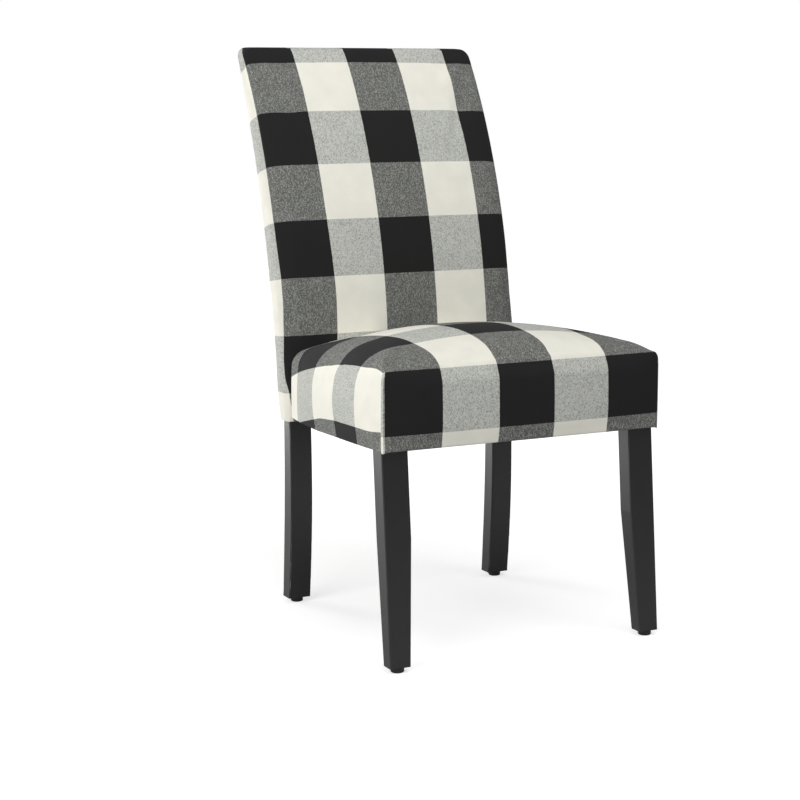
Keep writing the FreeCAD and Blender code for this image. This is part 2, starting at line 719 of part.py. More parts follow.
def back_core(gap):
    """Space of the frame inside the back's foam: posts, rails, straps and all behind them."""
    low, high = POST_ENTRY_Z, POST_TOP_Z + gap
    front = STRAP + CLEARANCE + gap
    shifted = [point(0, on_circle(STILE_FRONT_CIRCLE, z) - front, z) for z in (low, STILE_MIDDLE_Z, high)]
    far = point(0, FAR, low), point(0, FAR, high)
    edges = [arc(*shifted), line(shifted[2], far[1]), line(far[1], far[0]), line(far[0], shifted[0])]
    half = POST_OUTER_X + gap
    return side_prism(edges, -half, half)


def back_foam():
    """Foam over the front, the sides and the top of the back's frame."""
    half = POST_OUTER_X + CLEARANCE
    below = side_polygon([(0, 0), (FAR, 0), (FAR, BACK_FOAM_START), (0, BACK_FOAM_START)], -half, half)
    return cut_all(back_form(LINER), [back_core(CLEARANCE), below])


def seat_foam():
    """Crowned seat foam, which sits on the rails and is hollowed for the webbing."""
    form = seat_form(LINER + WADDING + CLEARANCE, 0.0)
    web_depth = WEB_HEIGHT + DECK_CLOTH + CLEARANCE
    hollow = plan_prism(deck_zone(-CLEARANCE), 0, CHAIR_HEIGHT)
    hollow = hollow.common(between((deck_z, 0.0), (deck_z, web_depth)))
    return form.common(above(deck_z, CLEARANCE)).cut(hollow)


def seat_wadding():
    """Fibre layer over the foam, down to a little above the deck."""
    skin = seat_form(LINER, 0.0).cut(seat_form(LINER + WADDING, -OVERRUN))
    return skin.common(above(deck_z, WADDING_ABOVE_DECK))


def seat_front_pad():
    """Foam strip on the face of the front rail and the front legs."""
    zone = side_polygon([(SEAT_FRONT, 0), (RAIL_FRONT - CLEARANCE, 0),
                         (RAIL_FRONT - CLEARANCE, CHAIR_HEIGHT), (SEAT_FRONT, CHAIR_HEIGHT)], -FAR, FAR)
    level = between((hem_z, LINER), (deck_z, 0.0))
    return seat_form(LINER, LINER).common(zone).common(level)


def seat_side_pad():
    """Foam strip on the outer face of a side rail, which fills the side's outward curve."""
    start = LEG_REAR + RAIL
    end = RAIL_REAR - RAIL
    corners = [(rail_outer_x(start) + CLEARANCE, start), (FAR, start), (FAR, end)]
    corners += [(rail_outer_x(end) + CLEARANCE, end)]
    level = between((hem_z, LINER + SIDE_PAD_ABOVE_HEM), (deck_z, 0.0))
    return seat_form(LINER, LINER).common(plan_prism(corners, 0, CHAIR_HEIGHT)).common(level)


def leg_passages(gap):
    """Where the two front legs pass through the seat's underside."""
    low_x, high_x = LEG_INNER_X - gap, LEG_OUTER_X + gap
    corners = [(low_x, RAIL_FRONT - gap), (high_x, RAIL_FRONT - gap)]
    corners += [(high_x, LEG_REAR + gap), (low_x, LEG_REAR + gap)]
    passage = plan_prism(corners, 0, DECK_FRONT_Z)
    return [passage, mirrored(passage)]


def seat_cover():
    """Sewn cover over the top, front, sides and rear, with its hem turned in under the rails."""
    shell = seat_form(0.0, 0.0).cut(seat_form(CLOTH, CLOTH))
    front, rear = SEAT_FRONT + HEM_TURN, SEAT_REAR - HEM_TURN
    half = [seat_half_width(y) - HEM_TURN for y in (front, rear)]
    corners = [(-half[0], front), (half[0], front), (half[1], rear), (-half[1], rear)]
    opening = plan_prism(corners, 0, CHAIR_HEIGHT).common(between((hem_z, -CLOTH), (hem_z, CLOTH * 2)))
    return cut_all(shell, [opening] + leg_passages(CLEARANCE) + seat_bolt_holes())


def dust_cover():
    """Thin cloth under the seat, notched round the front legs."""
    front, rear = SEAT_FRONT + DUST_INSET, SEAT_REAR - DUST_INSET
    half = [seat_half_width(y) - DUST_INSET for y in (front, rear)]
    corners = [(-half[0], front), (half[0], front), (half[1], rear), (-half[1], rear)]
    level = between((hem_z, -CLEARANCE - DUST_CLOTH), (hem_z, -CLEARANCE))
    sheet = plan_prism(corners, 0, CHAIR_HEIGHT).common(level)
    return cut_all(sheet, leg_passages(CLEARANCE * 3))


def post_passages():
    """Where the posts pass through the back's underside."""
    front, rear = rear_leg_faces(BACK_HEM_Z)
    gap = CLEARANCE * 2
    corners = [(POST_INNER_X - gap, front - gap), (POST_OUTER_X + gap, front - gap)]
    corners += [(POST_OUTER_X + gap, rear + gap), (POST_INNER_X - gap, rear + gap)]
    passage = plan_prism(corners, 0, BACK_HEM_Z + CLOTH * 2)
    return [passage, mirrored(passage)]


def back_cover_shell():
    return back_form(0.0).cut(back_form(CLOTH))


def outside_zone(gap):
    """Space of the outside back panel, behind the seams on the rear edges."""
    high = BACK_SHOULDER_Z - gap
    levels = [BACK_HEM_Z - OVERRUN, BACK_LOW_Z, BACK_MIDDLE_Z, high]
    edge = [point(0, back_rear(z) - REAR_SEAM_SETBACK + gap, z) for z in levels]
    start, end = point(0, FAR, 0), point(0, FAR, high)
    foot = point(0, edge[0].y, 0)
    edges = [line(foot, edge[0]), line(edge[0], edge[1]), arc(edge[1], edge[2], edge[3])]
    edges += [line(edge[3], end), line(end, start), line(start, foot)]
    return side_prism(edges, -FAR, FAR)


def back_cover_front():
    """Sheet over the inside, sides and top of the back, turned in under its bottom rail."""
    shell = back_cover_shell().cut(outside_zone(0.0))
    return cut_all(shell, post_passages() + seat_bolt_holes())


def back_cover_rear():
    """Panel over the outside of the back."""
    shell = back_cover_shell().common(outside_zone(CLEARANCE))
    return cut_all(shell, post_passages())


# Dowels, bolts, screws, nails and staples


def peg(start, direction, radius, length):
    return Part.makeCylinder(radius, length, start, direction)


def both_sides(pairs):
    """Each (start, direction) pair and its mirror image."""
    others = [(point(-s.x, s.y, s.z), point(-d.x, d.y, d.z)) for s, d in pairs]
    return pairs + others


def seat_dowel_axes():
    """Dowels of the seat box: front rail to leg, side rail to leg, rear rail to side rail."""
    along_x, along_y = point(1, 0, 0), point(0, 1, 0)
    pairs = []
    for share in DOWEL_SHARES:
        y = RAIL_FRONT + RAIL / 2
        z = hem_z(y) + (deck_z(y) - hem_z(y)) * share
        start = LEG_INNER_X + DOWEL_DEPTH_IN_LEG - DOWEL_LENGTH
        pairs.append((point(start, y, z), along_x))
        x = (rail_outer_x(LEG_REAR) + rail_inner_x(LEG_REAR)) / 2 - DOWEL_FIT
        pairs.append((point(x, LEG_REAR - DOWEL_DEPTH_IN_LEG, z), along_y))
        y = RAIL_REAR - RAIL / 2
        z = hem_z(y) + (deck_z(y) - hem_z(y)) * share
        start = rail_inner_x(y) - DOWEL_LENGTH + DOWEL_DEPTH_IN_SIDE_RAIL
        pairs.append((point(start, y, z), along_x))
    return both_sides(pairs)


def back_dowel_axes():
    """Dowels of the back: each rail to its two posts."""
    along_x = point(1, 0, 0)
    start = POST_INNER_X - DOWEL_LENGTH / 2
    pairs = []
    for share in DOWEL_SHARES:
        for low, height in ((TOP_RAIL_Z, TOP_RAIL_HEIGHT), (LUMBAR_RAIL_Z, LUMBAR_RAIL_HEIGHT)):
            z = low + height * share
            pairs.append((point(start, post_centre(z), z), along_x))
        z = BOTTOM_RAIL_Z + BOTTOM_RAIL_HEIGHT * share
        middle = BACK_RAIL_FRONT + BACK_RAIL / 2 + CLEARANCE
        pairs.append((point(start, middle, z), along_x))
    return both_sides(pairs)


def dowels(axes):
    return [peg(start, direction, DOWEL_RADIUS, DOWEL_LENGTH) for start, direction in axes]


def dowel_holes(axes):
    """Glue-fit holes, a little wider and deeper than the dowels."""
    holes = []
    for start, direction in axes:
        deeper = start - direction * CLEARANCE
        holes.append(peg(deeper, direction, DOWEL_RADIUS + DOWEL_FIT, DOWEL_LENGTH + CLEARANCE * 2))
    return holes


def seat_bolt_places():
    """Where the seat bolts cross the rear rail: a pair just inside each corner block."""
    middle = (hem_z(RAIL_REAR) + LINER + deck_z(RAIL_REAR)) / 2
    rows = (middle - SEAT_BOLT_SPACING / 2, middle + SEAT_BOLT_SPACING / 2)
    block_end = rail_inner_x(RAIL_REAR - RAIL) - REAR_BLOCK_REACH
    x = block_end - WASHER_RADIUS - SEAT_BOLT_MARGIN
    return [(side, z) for side in (-x, x) for z in rows]


def seat_bolt_holes():
    start = RAIL_REAR - RAIL - CLEARANCE
    end = BACK_RAIL_FRONT + BACK_RAIL + CLEARANCE
    along = point(0, 1, 0)
    return [peg(point(x, start, z), along, BOLT_RADIUS + BOLT_FIT, end - start) for x, z in seat_bolt_places()]


def socket_bolt(start, direction, length):
    """Socket-head bolt: its shank starts under the head and runs along a direction."""
    head_start = start - direction * BOLT_HEAD_HEIGHT
    head = peg(head_start, direction, BOLT_HEAD_RADIUS, BOLT_HEAD_HEIGHT)
    socket = peg(head_start, direction, BOLT_SOCKET_RADIUS, BOLT_SOCKET_DEPTH)
    return head.fuse(peg(start, direction, BOLT_RADIUS, length)).cut(socket)


def ring(start, direction, outer, inner, length):
    return peg(start, direction, outer, length).cut(peg(start, direction, inner, length))


def seat_bolts():
    start = RAIL_REAR - RAIL - WASHER - CLEARANCE * 2
    end = BACK_RAIL_FRONT + BACK_RAIL - CLEARANCE
    return [socket_bolt(point(x, start, z), point(0, 1, 0), end - start) for x, z in seat_bolt_places()]


def seat_bolt_washers():
    start = RAIL_REAR - RAIL - WASHER - CLEARANCE
    inner = BOLT_RADIUS + BOLT_FIT
    return [ring(point(x, start, z), point(0, 1, 0), WASHER_RADIUS, inner, WASHER) for x, z in seat_bolt_places()]


def insert_pockets():
    start = BACK_RAIL_FRONT + BACK_RAIL - INSERT_LENGTH - CLEARANCE
    radius = INSERT_RADIUS + DOWEL_FIT
    length = INSERT_LENGTH + CLEARANCE * 2
    return [peg(point(x, start, z), point(0, 1, 0), radius, length) for x, z in seat_bolt_places()]


def seat_bolt_inserts():
    """Threaded inserts, let into the rear of the back's bottom rail."""
    start = BACK_RAIL_FRONT + BACK_RAIL - INSERT_LENGTH
    inner = BOLT_RADIUS + DOWEL_FIT
    return [ring(point(x, start, z), point(0, 1, 0), INSERT_RADIUS, inner, INSERT_LENGTH)
            for x, z in seat_bolt_places()]


def leg_bolt_axis():
    """Start in the right front leg and direction of its diagonal bolt, into the seat box."""
    end_y = LEG_REAR + FRONT_BLOCK_REACH
    first = point(LEG_INNER_X - FRONT_BLOCK_REACH, RAIL_FRONT + RAIL, 0)
    second = point(rail_inner_x(end_y), end_y, 0)
    along = (second - first).normalize()
    direction = point(-along.y, along.x, 0)
    z = deck_z(end_y) - BLOCK_BELOW_DECK - BLOCK_HEIGHT / 2
    corner = point(LEG_INNER_X, LEG_REAR, z)
    face_gap = (first - corner).dot(direction)
    start = corner - direction * LEG_BOLT_IN_LEG
    return start, direction, LEG_BOLT_IN_LEG + face_gap


def leg_bolts():
    start, direction, _ = leg_bolt_axis()
    bolt = peg(start, direction, BOLT_RADIUS, LEG_BOLT_LENGTH)
    return [bolt, mirrored(bolt)]


def leg_bolt_holes():
    start, direction, _ = leg_bolt_axis()
    hole = peg(start - direction * CLEARANCE, direction, BOLT_RADIUS + DOWEL_FIT, LEG_BOLT_LENGTH)
    return [hole, mirrored(hole)]


def leg_bolt_washers():
    start, direction, reach = leg_bolt_axis()
    washer = ring(start + direction * (reach + CLEARANCE), direction, WASHER_RADIUS,
                  BOLT_RADIUS + BOLT_FIT, WASHER)
    return [washer, mirrored(washer)]


def leg_bolt_nuts():
    start, direction, reach = leg_bolt_axis()
    base = start + direction * (reach + WASHER + CLEARANCE * 2)
    across = NUT_FLATS / math.sqrt(3)
    corners = [point(across * math.cos(math.radians(a)), across * math.sin(math.radians(a)), 0)
               for a in range(0, 360, 60)]
    nut = Part.Face(Part.makePolygon(corners + corners[:1])).extrude(point(0, 0, NUT_HEIGHT))
    nut = nut.cut(Part.makeCylinder(BOLT_RADIUS + DOWEL_FIT, NUT_HEIGHT))
    turn = FreeCAD.Rotation(point(0, 0, 1), direction)
    nut.Placement = FreeCAD.Placement(base, turn)
    return [nut, mirrored(nut)]


def block_screw_axes():
    """Where two screws enter each corner block: start under the head, and direction."""
    pairs = []
    z = deck_z(LEG_REAR + FRONT_BLOCK_REACH) - BLOCK_BELOW_DECK - BLOCK_HEIGHT / 2
    x = LEG_INNER_X - FRONT_BLOCK_REACH * SCREW_SHARE
    y = RAIL_FRONT + RAIL + SCREW_DEPTH_IN_BLOCK
    pairs.append((point(x, y, z), point(0, -1, 0)))
    y = LEG_REAR + FRONT_BLOCK_REACH * SCREW_SHARE
    pairs.append((point(rail_inner_x(y) - SCREW_DEPTH_IN_BLOCK, y, z), point(1, 0, 0)))
    rail_face = RAIL_REAR - RAIL
    z = deck_z(rail_face) - BLOCK_BELOW_DECK / 2 - BLOCK_HEIGHT / 2
    x = rail_inner_x(rail_face) - REAR_BLOCK_REACH * SCREW_SHARE
    pairs.append((point(x, rail_face - SCREW_DEPTH_IN_BLOCK, z), point(0, 1, 0)))
    y = rail_face - REAR_BLOCK_REACH * SCREW_SHARE
    pairs.append((point(rail_inner_x(y) - SCREW_DEPTH_IN_BLOCK, y, z), point(1, 0, 0)))
    return both_sides(pairs)


def block_screws():
    """Countersunk screws that hold the corner blocks to the rails."""
    screws = []
    for start, direction in block_screw_axes():
        shank = peg(start, direction, SCREW_RADIUS, SCREW_LENGTH)
        head = Part.makeCone(SCREW_HEAD_RADIUS, SCREW_RADIUS, SCREW_HEAD, start, direction)
        screws.append(shank.fuse(head))
    return screws


def block_screw_holes():
    """Pilot holes with room for the heads, open on the block's long face."""
    holes = []
    for start, direction in block_screw_axes():
        shank = peg(start, direction, SCREW_RADIUS + DOWEL_FIT, SCREW_LENGTH + CLEARANCE)
        head = peg(start - direction * RAIL, direction, SCREW_HEAD_RADIUS + DOWEL_FIT, RAIL + SCREW_HEAD)
        holes.append(shank.fuse(head))
    return holes


def foot_centres():
    """Middle of each foot's underside: front left, front right, rear left, rear right."""
    front_x = LEG_OUTER_X - LEG_FOOT_WIDTH / 2
    front_y = rake(GLIDE_HEIGHT) + LEG_FOOT_DEPTH / 2
    rear_x = POST_OUTER_X - POST_WIDTH / 2
    rear_y = sum(rear_leg_faces(GLIDE_HEIGHT)) / 2
    return [(-front_x, front_y), (front_x, front_y), (-rear_x, rear_y), (rear_x, rear_y)]


def glide(x, y):
    """Moulded glide: a round pad with an eased edge, recessed for its nail's head."""
    body = Part.makeCylinder(GLIDE_RADIUS, GLIDE_HEIGHT, point(x, y, 0))
    body = body.makeFillet(GLIDE_EDGE, [e for e in body.Edges if e.BoundBox.ZMax < GLIDE_EDGE])
    recess = Part.makeCylinder(NAIL_HEAD_RADIUS + DOWEL_FIT, NAIL_HEAD_Z + NAIL_HEAD + CLEARANCE / 2,
                               point(x, y, 0))
    bore = Part.makeCylinder(NAIL_RADIUS + DOWEL_FIT, GLIDE_HEIGHT, point(x, y, 0))
    return body.cut(recess).cut(bore)


def glide_nails():
    nails = []
    for x, y in foot_centres():
        head = Part.makeCylinder(NAIL_HEAD_RADIUS, NAIL_HEAD, point(x, y, NAIL_HEAD_Z))
        shank = Part.makeCylinder(NAIL_RADIUS, NAIL_LENGTH, point(x, y, NAIL_HEAD_Z))
        nails.append(head.fuse(shank))
    return nails


def nail_holes():
    depth = NAIL_HEAD_Z + NAIL_LENGTH + CLEARANCE
    return [Part.makeCylinder(NAIL_RADIUS + DOWEL_FIT, depth, point(x, y, 0)) for x, y in foot_centres()]


def staple(x, y, angle):
    """Crown of a staple on the underside of the dust cover, turned about Z."""
    low = hem_z(y) - CLEARANCE * 2 - DUST_CLOTH - STAPLE_WIRE
    body = Part.makeBox(STAPLE_CROWN, STAPLE_WIRE, STAPLE_WIRE,
                        point(-STAPLE_CROWN / 2, -STAPLE_WIRE / 2, 0))
    body.rotate(point(0, 0, 0), point(0, 0, 1), angle)
    body.translate(point(x, y, low))
    return body


def dust_cover_staples():
    """Staples along the four edges of the dust cover, clear of the legs."""
    edge = DUST_INSET + STAPLE_CROWN
    front, rear = SEAT_FRONT + edge, SEAT_REAR - edge
    staples = []
    span = LEG_INNER_X - STAPLE_CROWN * 2
    count = int(2 * span / STAPLE_PITCH) + 1
    for i in range(count):
        x = -span + 2 * span * i / (count - 1)
        staples.append(staple(x, front, 0))
        staples.append(staple(x * (seat_half_width(rear) - edge) / span, rear, 0))
    first, last = LEG_REAR + STAPLE_CROWN * 2, rear - STAPLE_PITCH
    count = int((last - first) / STAPLE_PITCH) + 1
    for i in range(count):
        y = first + (last - first) * i / (count - 1)
        x = seat_half_width(y) - edge
        staples.append(staple(x, y, 90))
        staples.append(staple(-x, y, 90))
    return staples


# Every node of the chair


def chair():
    """Node names and their shapes."""
    seat_axes, back_axes = seat_dowel_axes(), back_dowel_axes()
    seat_holes, back_holes = dowel_holes(seat_axes), dowel_holes(back_axes)
    feet = nail_holes()
    leg_holes = leg_bolt_holes()
    screw_holes = block_screw_holes()
    leg = cut_all(front_leg(), seat_holes + leg_holes + feet)
    post = cut_all(back_post(), back_holes + feet)
    side = cut_all(side_rail(), seat_holes + screw_holes)
    block_front = cut_all(front_block(), screw_holes + leg_holes)
    block_rear = cut_all(rear_block(), screw_holes)
    side_pad = seat_side_pad()
    nodes = {
        "front_leg_right": leg,
        "front_leg_left": mirrored(leg),
        "back_post_right": post,
        "back_post_left": mirrored(post),
        "seat_rail_front": cut_all(front_rail(), seat_holes + screw_holes),
        "seat_rail_rear": cut_all(rear_rail(), seat_holes + screw_holes + seat_bolt_holes()),
        "seat_rail_right": side,
        "seat_rail_left": mirrored(side),
        "corner_block_front_right": block_front,
        "corner_block_front_left": mirrored(block_front),
        "corner_block_rear_right": block_rear,
        "corner_block_rear_left": mirrored(block_rear),
        "seat_webbing": Part.makeCompound(seat_straps()),
        "seat_deck_cloth": deck_cloth(),
        "seat_foam": seat_foam(),
        "seat_wadding": seat_wadding(),
        "seat_front_pad": seat_front_pad(),
        "seat_side_pad_right": side_pad,
        "seat_side_pad_left": mirrored(side_pad),
        "seat_cover": seat_cover(),
        "dust_cover": dust_cover(),
        "dust_cover_staples": Part.makeCompound(dust_cover_staples()),
        "back_top_rail": cut_all(back_top_rail(), back_holes),
        "back_lumbar_rail": cut_all(back_lumbar_rail(), back_holes),
        "back_bottom_rail": cut_all(back_bottom_rail(), back_holes + seat_bolt_holes() + insert_pockets()),
        "back_webbing": Part.makeCompound(back_straps()),
        "back_board": outside_board(),
        "back_foam": back_foam(),
        "back_cover_front": back_cover_front(),
        "back_cover_rear": back_cover_rear(),
        "seat_dowels": Part.makeCompound(dowels(seat_axes)),
        "back_dowels": Part.makeCompound(dowels(back_axes)),
        "seat_bolts": Part.makeCompound(seat_bolts()),
        "seat_bolt_washers": Part.makeCompound(seat_bolt_washers()),
        "seat_bolt_inserts": Part.makeCompound(seat_bolt_inserts()),
        "leg_bolts": Part.makeCompound(leg_bolts()),
        "leg_bolt_washers": Part.makeCompound(leg_bolt_washers()),
        "leg_bolt_nuts": Part.makeCompound(leg_bolt_nuts()),
        "corner_block_screws": Part.makeCompound(block_screws()),
        "glide_nails": Part.makeCompound(glide_nails()),
    }
    places = ("front_left", "front_right", "rear_left", "rear_right")
    for place, (x, y) in zip(places, foot_centres()):
        nodes["glide_" + place] = glide(x, y)
    return nodes


os.makedirs("parts", exist_ok=True)
for name, shape in chair().items():
    shape.exportStep(os.path.join("parts", name + ".step"))
    print(name, "valid", shape.isValid(), "solids", len(shape.Solids), "cm3", round(shape.Volume / 1000, 1))
print("depth", round(CHAIR_DEPTH, 2), "seat front", round(SEAT_FRONT, 2), "back front", round(BACK_FRONT, 2))
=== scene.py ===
import math

import bpy
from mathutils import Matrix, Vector
from mathutils.bvhtree import BVHTree


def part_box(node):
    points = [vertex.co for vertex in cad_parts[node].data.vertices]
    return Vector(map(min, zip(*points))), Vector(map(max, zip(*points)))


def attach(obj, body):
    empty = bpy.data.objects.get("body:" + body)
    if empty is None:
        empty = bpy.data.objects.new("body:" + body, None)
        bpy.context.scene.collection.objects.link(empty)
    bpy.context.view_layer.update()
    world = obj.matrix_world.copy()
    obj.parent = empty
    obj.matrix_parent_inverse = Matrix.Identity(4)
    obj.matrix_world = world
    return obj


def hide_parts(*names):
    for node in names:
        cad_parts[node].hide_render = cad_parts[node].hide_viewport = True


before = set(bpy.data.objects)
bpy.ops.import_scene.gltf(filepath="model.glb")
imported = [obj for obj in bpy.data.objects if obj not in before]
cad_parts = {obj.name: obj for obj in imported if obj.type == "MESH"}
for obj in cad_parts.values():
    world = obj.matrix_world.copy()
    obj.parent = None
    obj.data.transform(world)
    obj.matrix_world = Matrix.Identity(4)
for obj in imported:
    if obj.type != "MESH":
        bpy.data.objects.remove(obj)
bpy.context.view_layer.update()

bl_info = {
    "name": "Checked parsons chair",
    "version": (1, 0, 0),
    "blender": (4, 5, 0),
    "location": "View3D > Sidebar > Parsons chair",
    "description": "Upholstery, wood, fittings and studio for a checked parsons chair",
    "category": "Object",
}

MM = 0.001
BODY = "root"

# The nodes of the frame that each upholstered piece stands for
SEAT_SOFT = ("seat_cover", "seat_foam", "seat_wadding", "seat_front_pad",
             "seat_side_pad_right", "seat_side_pad_left")
BACK_SOFT = ("back_cover_front", "back_foam")
OUTSIDE_BACK = "back_cover_rear"
WOOD_SHOWN = ("front_leg_right", "front_leg_left", "back_post_right", "back_post_left")
GLIDES = ("glide_front_right", "glide_front_left", "glide_rear_right", "glide_rear_left")

# A turn of one radian counts as this much length when points are shared out along a line
TURN_WEIGHT = 0.009

# The seat, in metres. Places of the check count its edges from here.
SEAT_ROW_EDGE_Z = 0.480  # row edge along the top of the front
FRONT_ROW = 0.1040  # height of a row on the front, where the cloth is stretched
SIDE_EDGE = 2.5  # colour edge along the side's top, in columns from the middle
SEAT_HALF_WIDTH = 0.254
SEAT_CORNER_RADIUS = 0.0075  # upright corners of the front
SEAT_FIRST_STATION = 0.0028  # depth of the first outline behind the front
SEAT_MIDDLE_Z = 0.405  # height from which the outlines are measured
SEAT_REAR_FULLNESS = 0.0065  # how far the stuffing pushes the rear corners out
HEM_EDGE = 0.0016  # distance of the last loops from the hem
HEM_CLEAR = 0.0006  # how far above the hem the outline ends
# The lapped seam reaches back to this outline, stands proud of the side and hangs below the hem
LAP_STATION = 2
LAP_PROUD = 0.0011
LAP_TIP = 0.0028
# Height at which the pale column on the seat's side ends, at some depths
BAND_LINE = ((-0.315, 0.3835), (-0.291, 0.3805), (-0.258, 0.3770), (-0.190, 0.3750), (-0.124, 0.3720),
             (-0.050, 0.3640), (0.042, 0.3430), (0.113, 0.3240))
# Rows counted from the front along the seat's side edge, at some depths: the cloth is pulled there
SIDE_ROWS = ((-0.3155, 0.0), (-0.209, 1.0), (-0.118, 2.0), (-0.020, 3.0), (0.069, 4.0), (0.113, 4.47))

# The back, in metres: a row edge's height, a column edge's offset, and the circle of its lean
BACK_ROW_EDGE_Z = 0.9504
BACK_COLUMN_X = 0.0161
BACK_LEAN_START_Z = 0.400
BACK_LEAN_RADIUS = 1.022
BACK_TOP_TURN = 0.030  # length of cloth over the top, from front to rear
# Sideways pull of the back's cloth on its left half, by height, whole at BACK_PULL_REACH from the middle
BACK_PULL = (
    (0.360, 0.0160), (0.385, 0.0120), (0.395, 0.0080), (0.410, 0.0040), (0.440, 0.0026), (0.480, 0.0056),
    (0.540, 0.0080), (0.580, 0.0070), (0.640, 0.0042), (0.700, 0.0016), (0.800, 0.0),
)
BACK_PULL_REACH = 0.17
# The outside back's margins at its sides, top and hem, and its check's place
PANEL_SIDE, PANEL_TOP, PANEL_HEM = 0.0130, 0.024, 0.0035
PANEL_COLUMN_X = -0.031
PANEL_ROW_Z = 0.871
# Between these heights the corner seams are stitched
STITCHED_Z = (0.356, 0.470)


class ClothSizes(bpy.types.PropertyGroup):
    """Sizes of the cloth and of its check."""
    column: bpy.props.FloatProperty(
        name="Column", description="Width of one column of the check", default=0.1016, unit="LENGTH")
    row: bpy.props.FloatProperty(
        name="Row", description="Height of one row of the check", default=0.1002, unit="LENGTH")
    thread: bpy.props.FloatProperty(
        name="Thread", description="Thread spacing as drawn; the real one is about half of it",
        default=0.00118, unit="LENGTH")
    grid: bpy.props.FloatProperty(
        name="Grid", description="Spacing of the cloth's mesh before its subdivision",
        default=0.0085, unit="LENGTH")
    slack: bpy.props.FloatProperty(
        name="Slack", description="How far the cloth starts inside its form", default=0.0022, unit="LENGTH")
    swell: bpy.props.FloatProperty(
        name="Swell", description="How far a point of the cloth may move", default=0.0044, unit="LENGTH")
    lap: bpy.props.FloatProperty(
        name="Lap", description="Width of the lapped seam round each front corner", default=0.0095,
        unit="LENGTH")
    cloth: bpy.props.FloatProperty(
        name="Cloth", description="Thickness of the outside back's folded cloth", default=0.0012,
        unit="LENGTH")
    stitch: bpy.props.FloatProperty(
        name="Stitch", description="Spacing of the stitches", default=0.0036, unit="LENGTH")


class Finishes(bpy.types.PropertyGroup):
    """Colours, as sRGB hex values."""
    cream_yarn: bpy.props.StringProperty(
        name="Cream yarn", description="Undyed cotton yarn", default="ebe9dd")
    black_yarn: bpy.props.StringProperty(
        name="Black yarn", description="Dyed black yarn", default="1f201f")
    espresso: bpy.props.StringProperty(
        name="Espresso stain", description="Colour of the stained legs", default="100f0f")
    raw_wood: bpy.props.StringProperty(
        name="Raw wood", description="Colour of the hidden frame", default="c49a6c")
    glide: bpy.props.StringProperty(
        name="Glide", description="Colour of the plastic glides", default="1b1b1b")
    floor: bpy.props.StringProperty(
        name="Floor", description="Colour of the studio floor", default="d2d2d2")


class StudioSettings(bpy.types.PropertyGroup):
    """Light levels and the camera."""
    room: bpy.props.FloatProperty(
        name="Room light", description="Strength of the even light from all round", default=0.26)
    key: bpy.props.FloatProperty(
        name="Key light", description="Power of the large soft light at the left", default=72.0, unit="POWER")
    top: bpy.props.FloatProperty(
        name="Top light", description="Power of the soft light overhead", default=40.0, unit="POWER")
    kicker: bpy.props.FloatProperty(
        name="Kicker light", description="Power of the low light behind, which the legs' sides mirror",
        default=80.0, unit="POWER")
    lens: bpy.props.FloatProperty(
        name="Lens", description="Focal length in millimetres", default=87.486)


# Small helpers


def sizes():
    return bpy.context.scene.chair_cloth


def finishes():
    return bpy.context.scene.chair_finishes


def linear(hex_colour):
    """An sRGB hex colour as linear red, green, blue and alpha."""
    parts = [int(hex_colour[i:i + 2], 16) / 255 for i in (0, 2, 4)]
    return tuple(p / 12.92 if p <= 0.04045 else ((p + 0.055) / 1.055) ** 2.4 for p in parts) + (1.0,)


def add_node(material, kind, settings=None, **links):
    """Adds a node. Settings are its properties, or values of its inputs by index or name."""
    node = material.node_tree.nodes.new(kind)
    for name, value in (settings or {}).items():
        if isinstance(name, int) or name in node.inputs:
            node.inputs[name].default_value = value
        else:
            setattr(node, name, value)
    for name, source in links.items():
        socket = node.inputs[int(name[1:])] if name[1:].isdigit() else node.inputs[name.replace("_", " ")]
        material.node_tree.links.new(source, socket)
    return node


def new_material(name):
    """Empty material with a Principled surface."""
    material = bpy.data.materials.new(name)
    material.use_nodes = True
    material.node_tree.nodes.clear()
    surface = add_node(material, "ShaderNodeBsdfPrincipled")
    add_node(material, "ShaderNodeOutputMaterial", None, Surface=surface.outputs[0])
    return material, surface


def feed(material, source, node, name):
    material.node_tree.links.new(source, node.inputs[name])


def scaled(colour, factor):
    """A linear colour made darker or lighter."""
    return tuple(c * factor for c in colour[:3]) + (1.0,)


def object_noise(material, scale, detail):
    """Noise laid out in the object's own metres."""
    place = add_node(material, "ShaderNodeTexCoord")
    return add_node(material, "ShaderNodeTexNoise", {"Scale": scale, "Detail": detail},
                    Vector=place.outputs["Object"]).outputs["Fac"]


def two_tones(material, surface, share, low, high):
    """Base colour that runs from one colour to another."""
    colour = add_node(material, "ShaderNodeMix", {"data_type": "RGBA", 6: low, 7: high}, _0=share)
    feed(material, colour.outputs[2], surface, "Base Color")


def gloss_range(material, surface, share, low, high):
    """Roughness that runs from one value to another over the middle of a noise."""
    gloss = add_node(material, "ShaderNodeMapRange", {1: 0.3, 2: 0.7, 3: low, 4: high}, _0=share)
    feed(material, gloss.outputs[0], surface, "Roughness")


def relief(material, surface, height, strength, distance):
    bump = add_node(material, "ShaderNodeBump", {"Strength": strength, "Distance": distance}, Height=height)
    feed(material, bump.outputs[0], surface, "Normal")


def set_material(obj, material):
    if not obj.material_slots:
        obj.data.materials.append(material)
    for material_slot in obj.material_slots:
        material_slot.material = material


def deselect_all():
    if bpy.context.object and bpy.context.object.mode != "OBJECT":
        bpy.ops.object.mode_set(mode="OBJECT")
    bpy.ops.object.select_all(action="DESELECT")


def activate(obj):
    deselect_all()
    obj.select_set(True)
    bpy.context.view_layer.objects.active = obj


def apply_modifiers(obj):
    activate(obj)
    for modifier in list(obj.modifiers):
        bpy.ops.object.modifier_apply(modifier=modifier.name)


def settle(obj):
    """Puts the object's place into its mesh."""
    activate(obj)
    bpy.ops.object.transform_apply(location=True, rotation=True, scale=True)


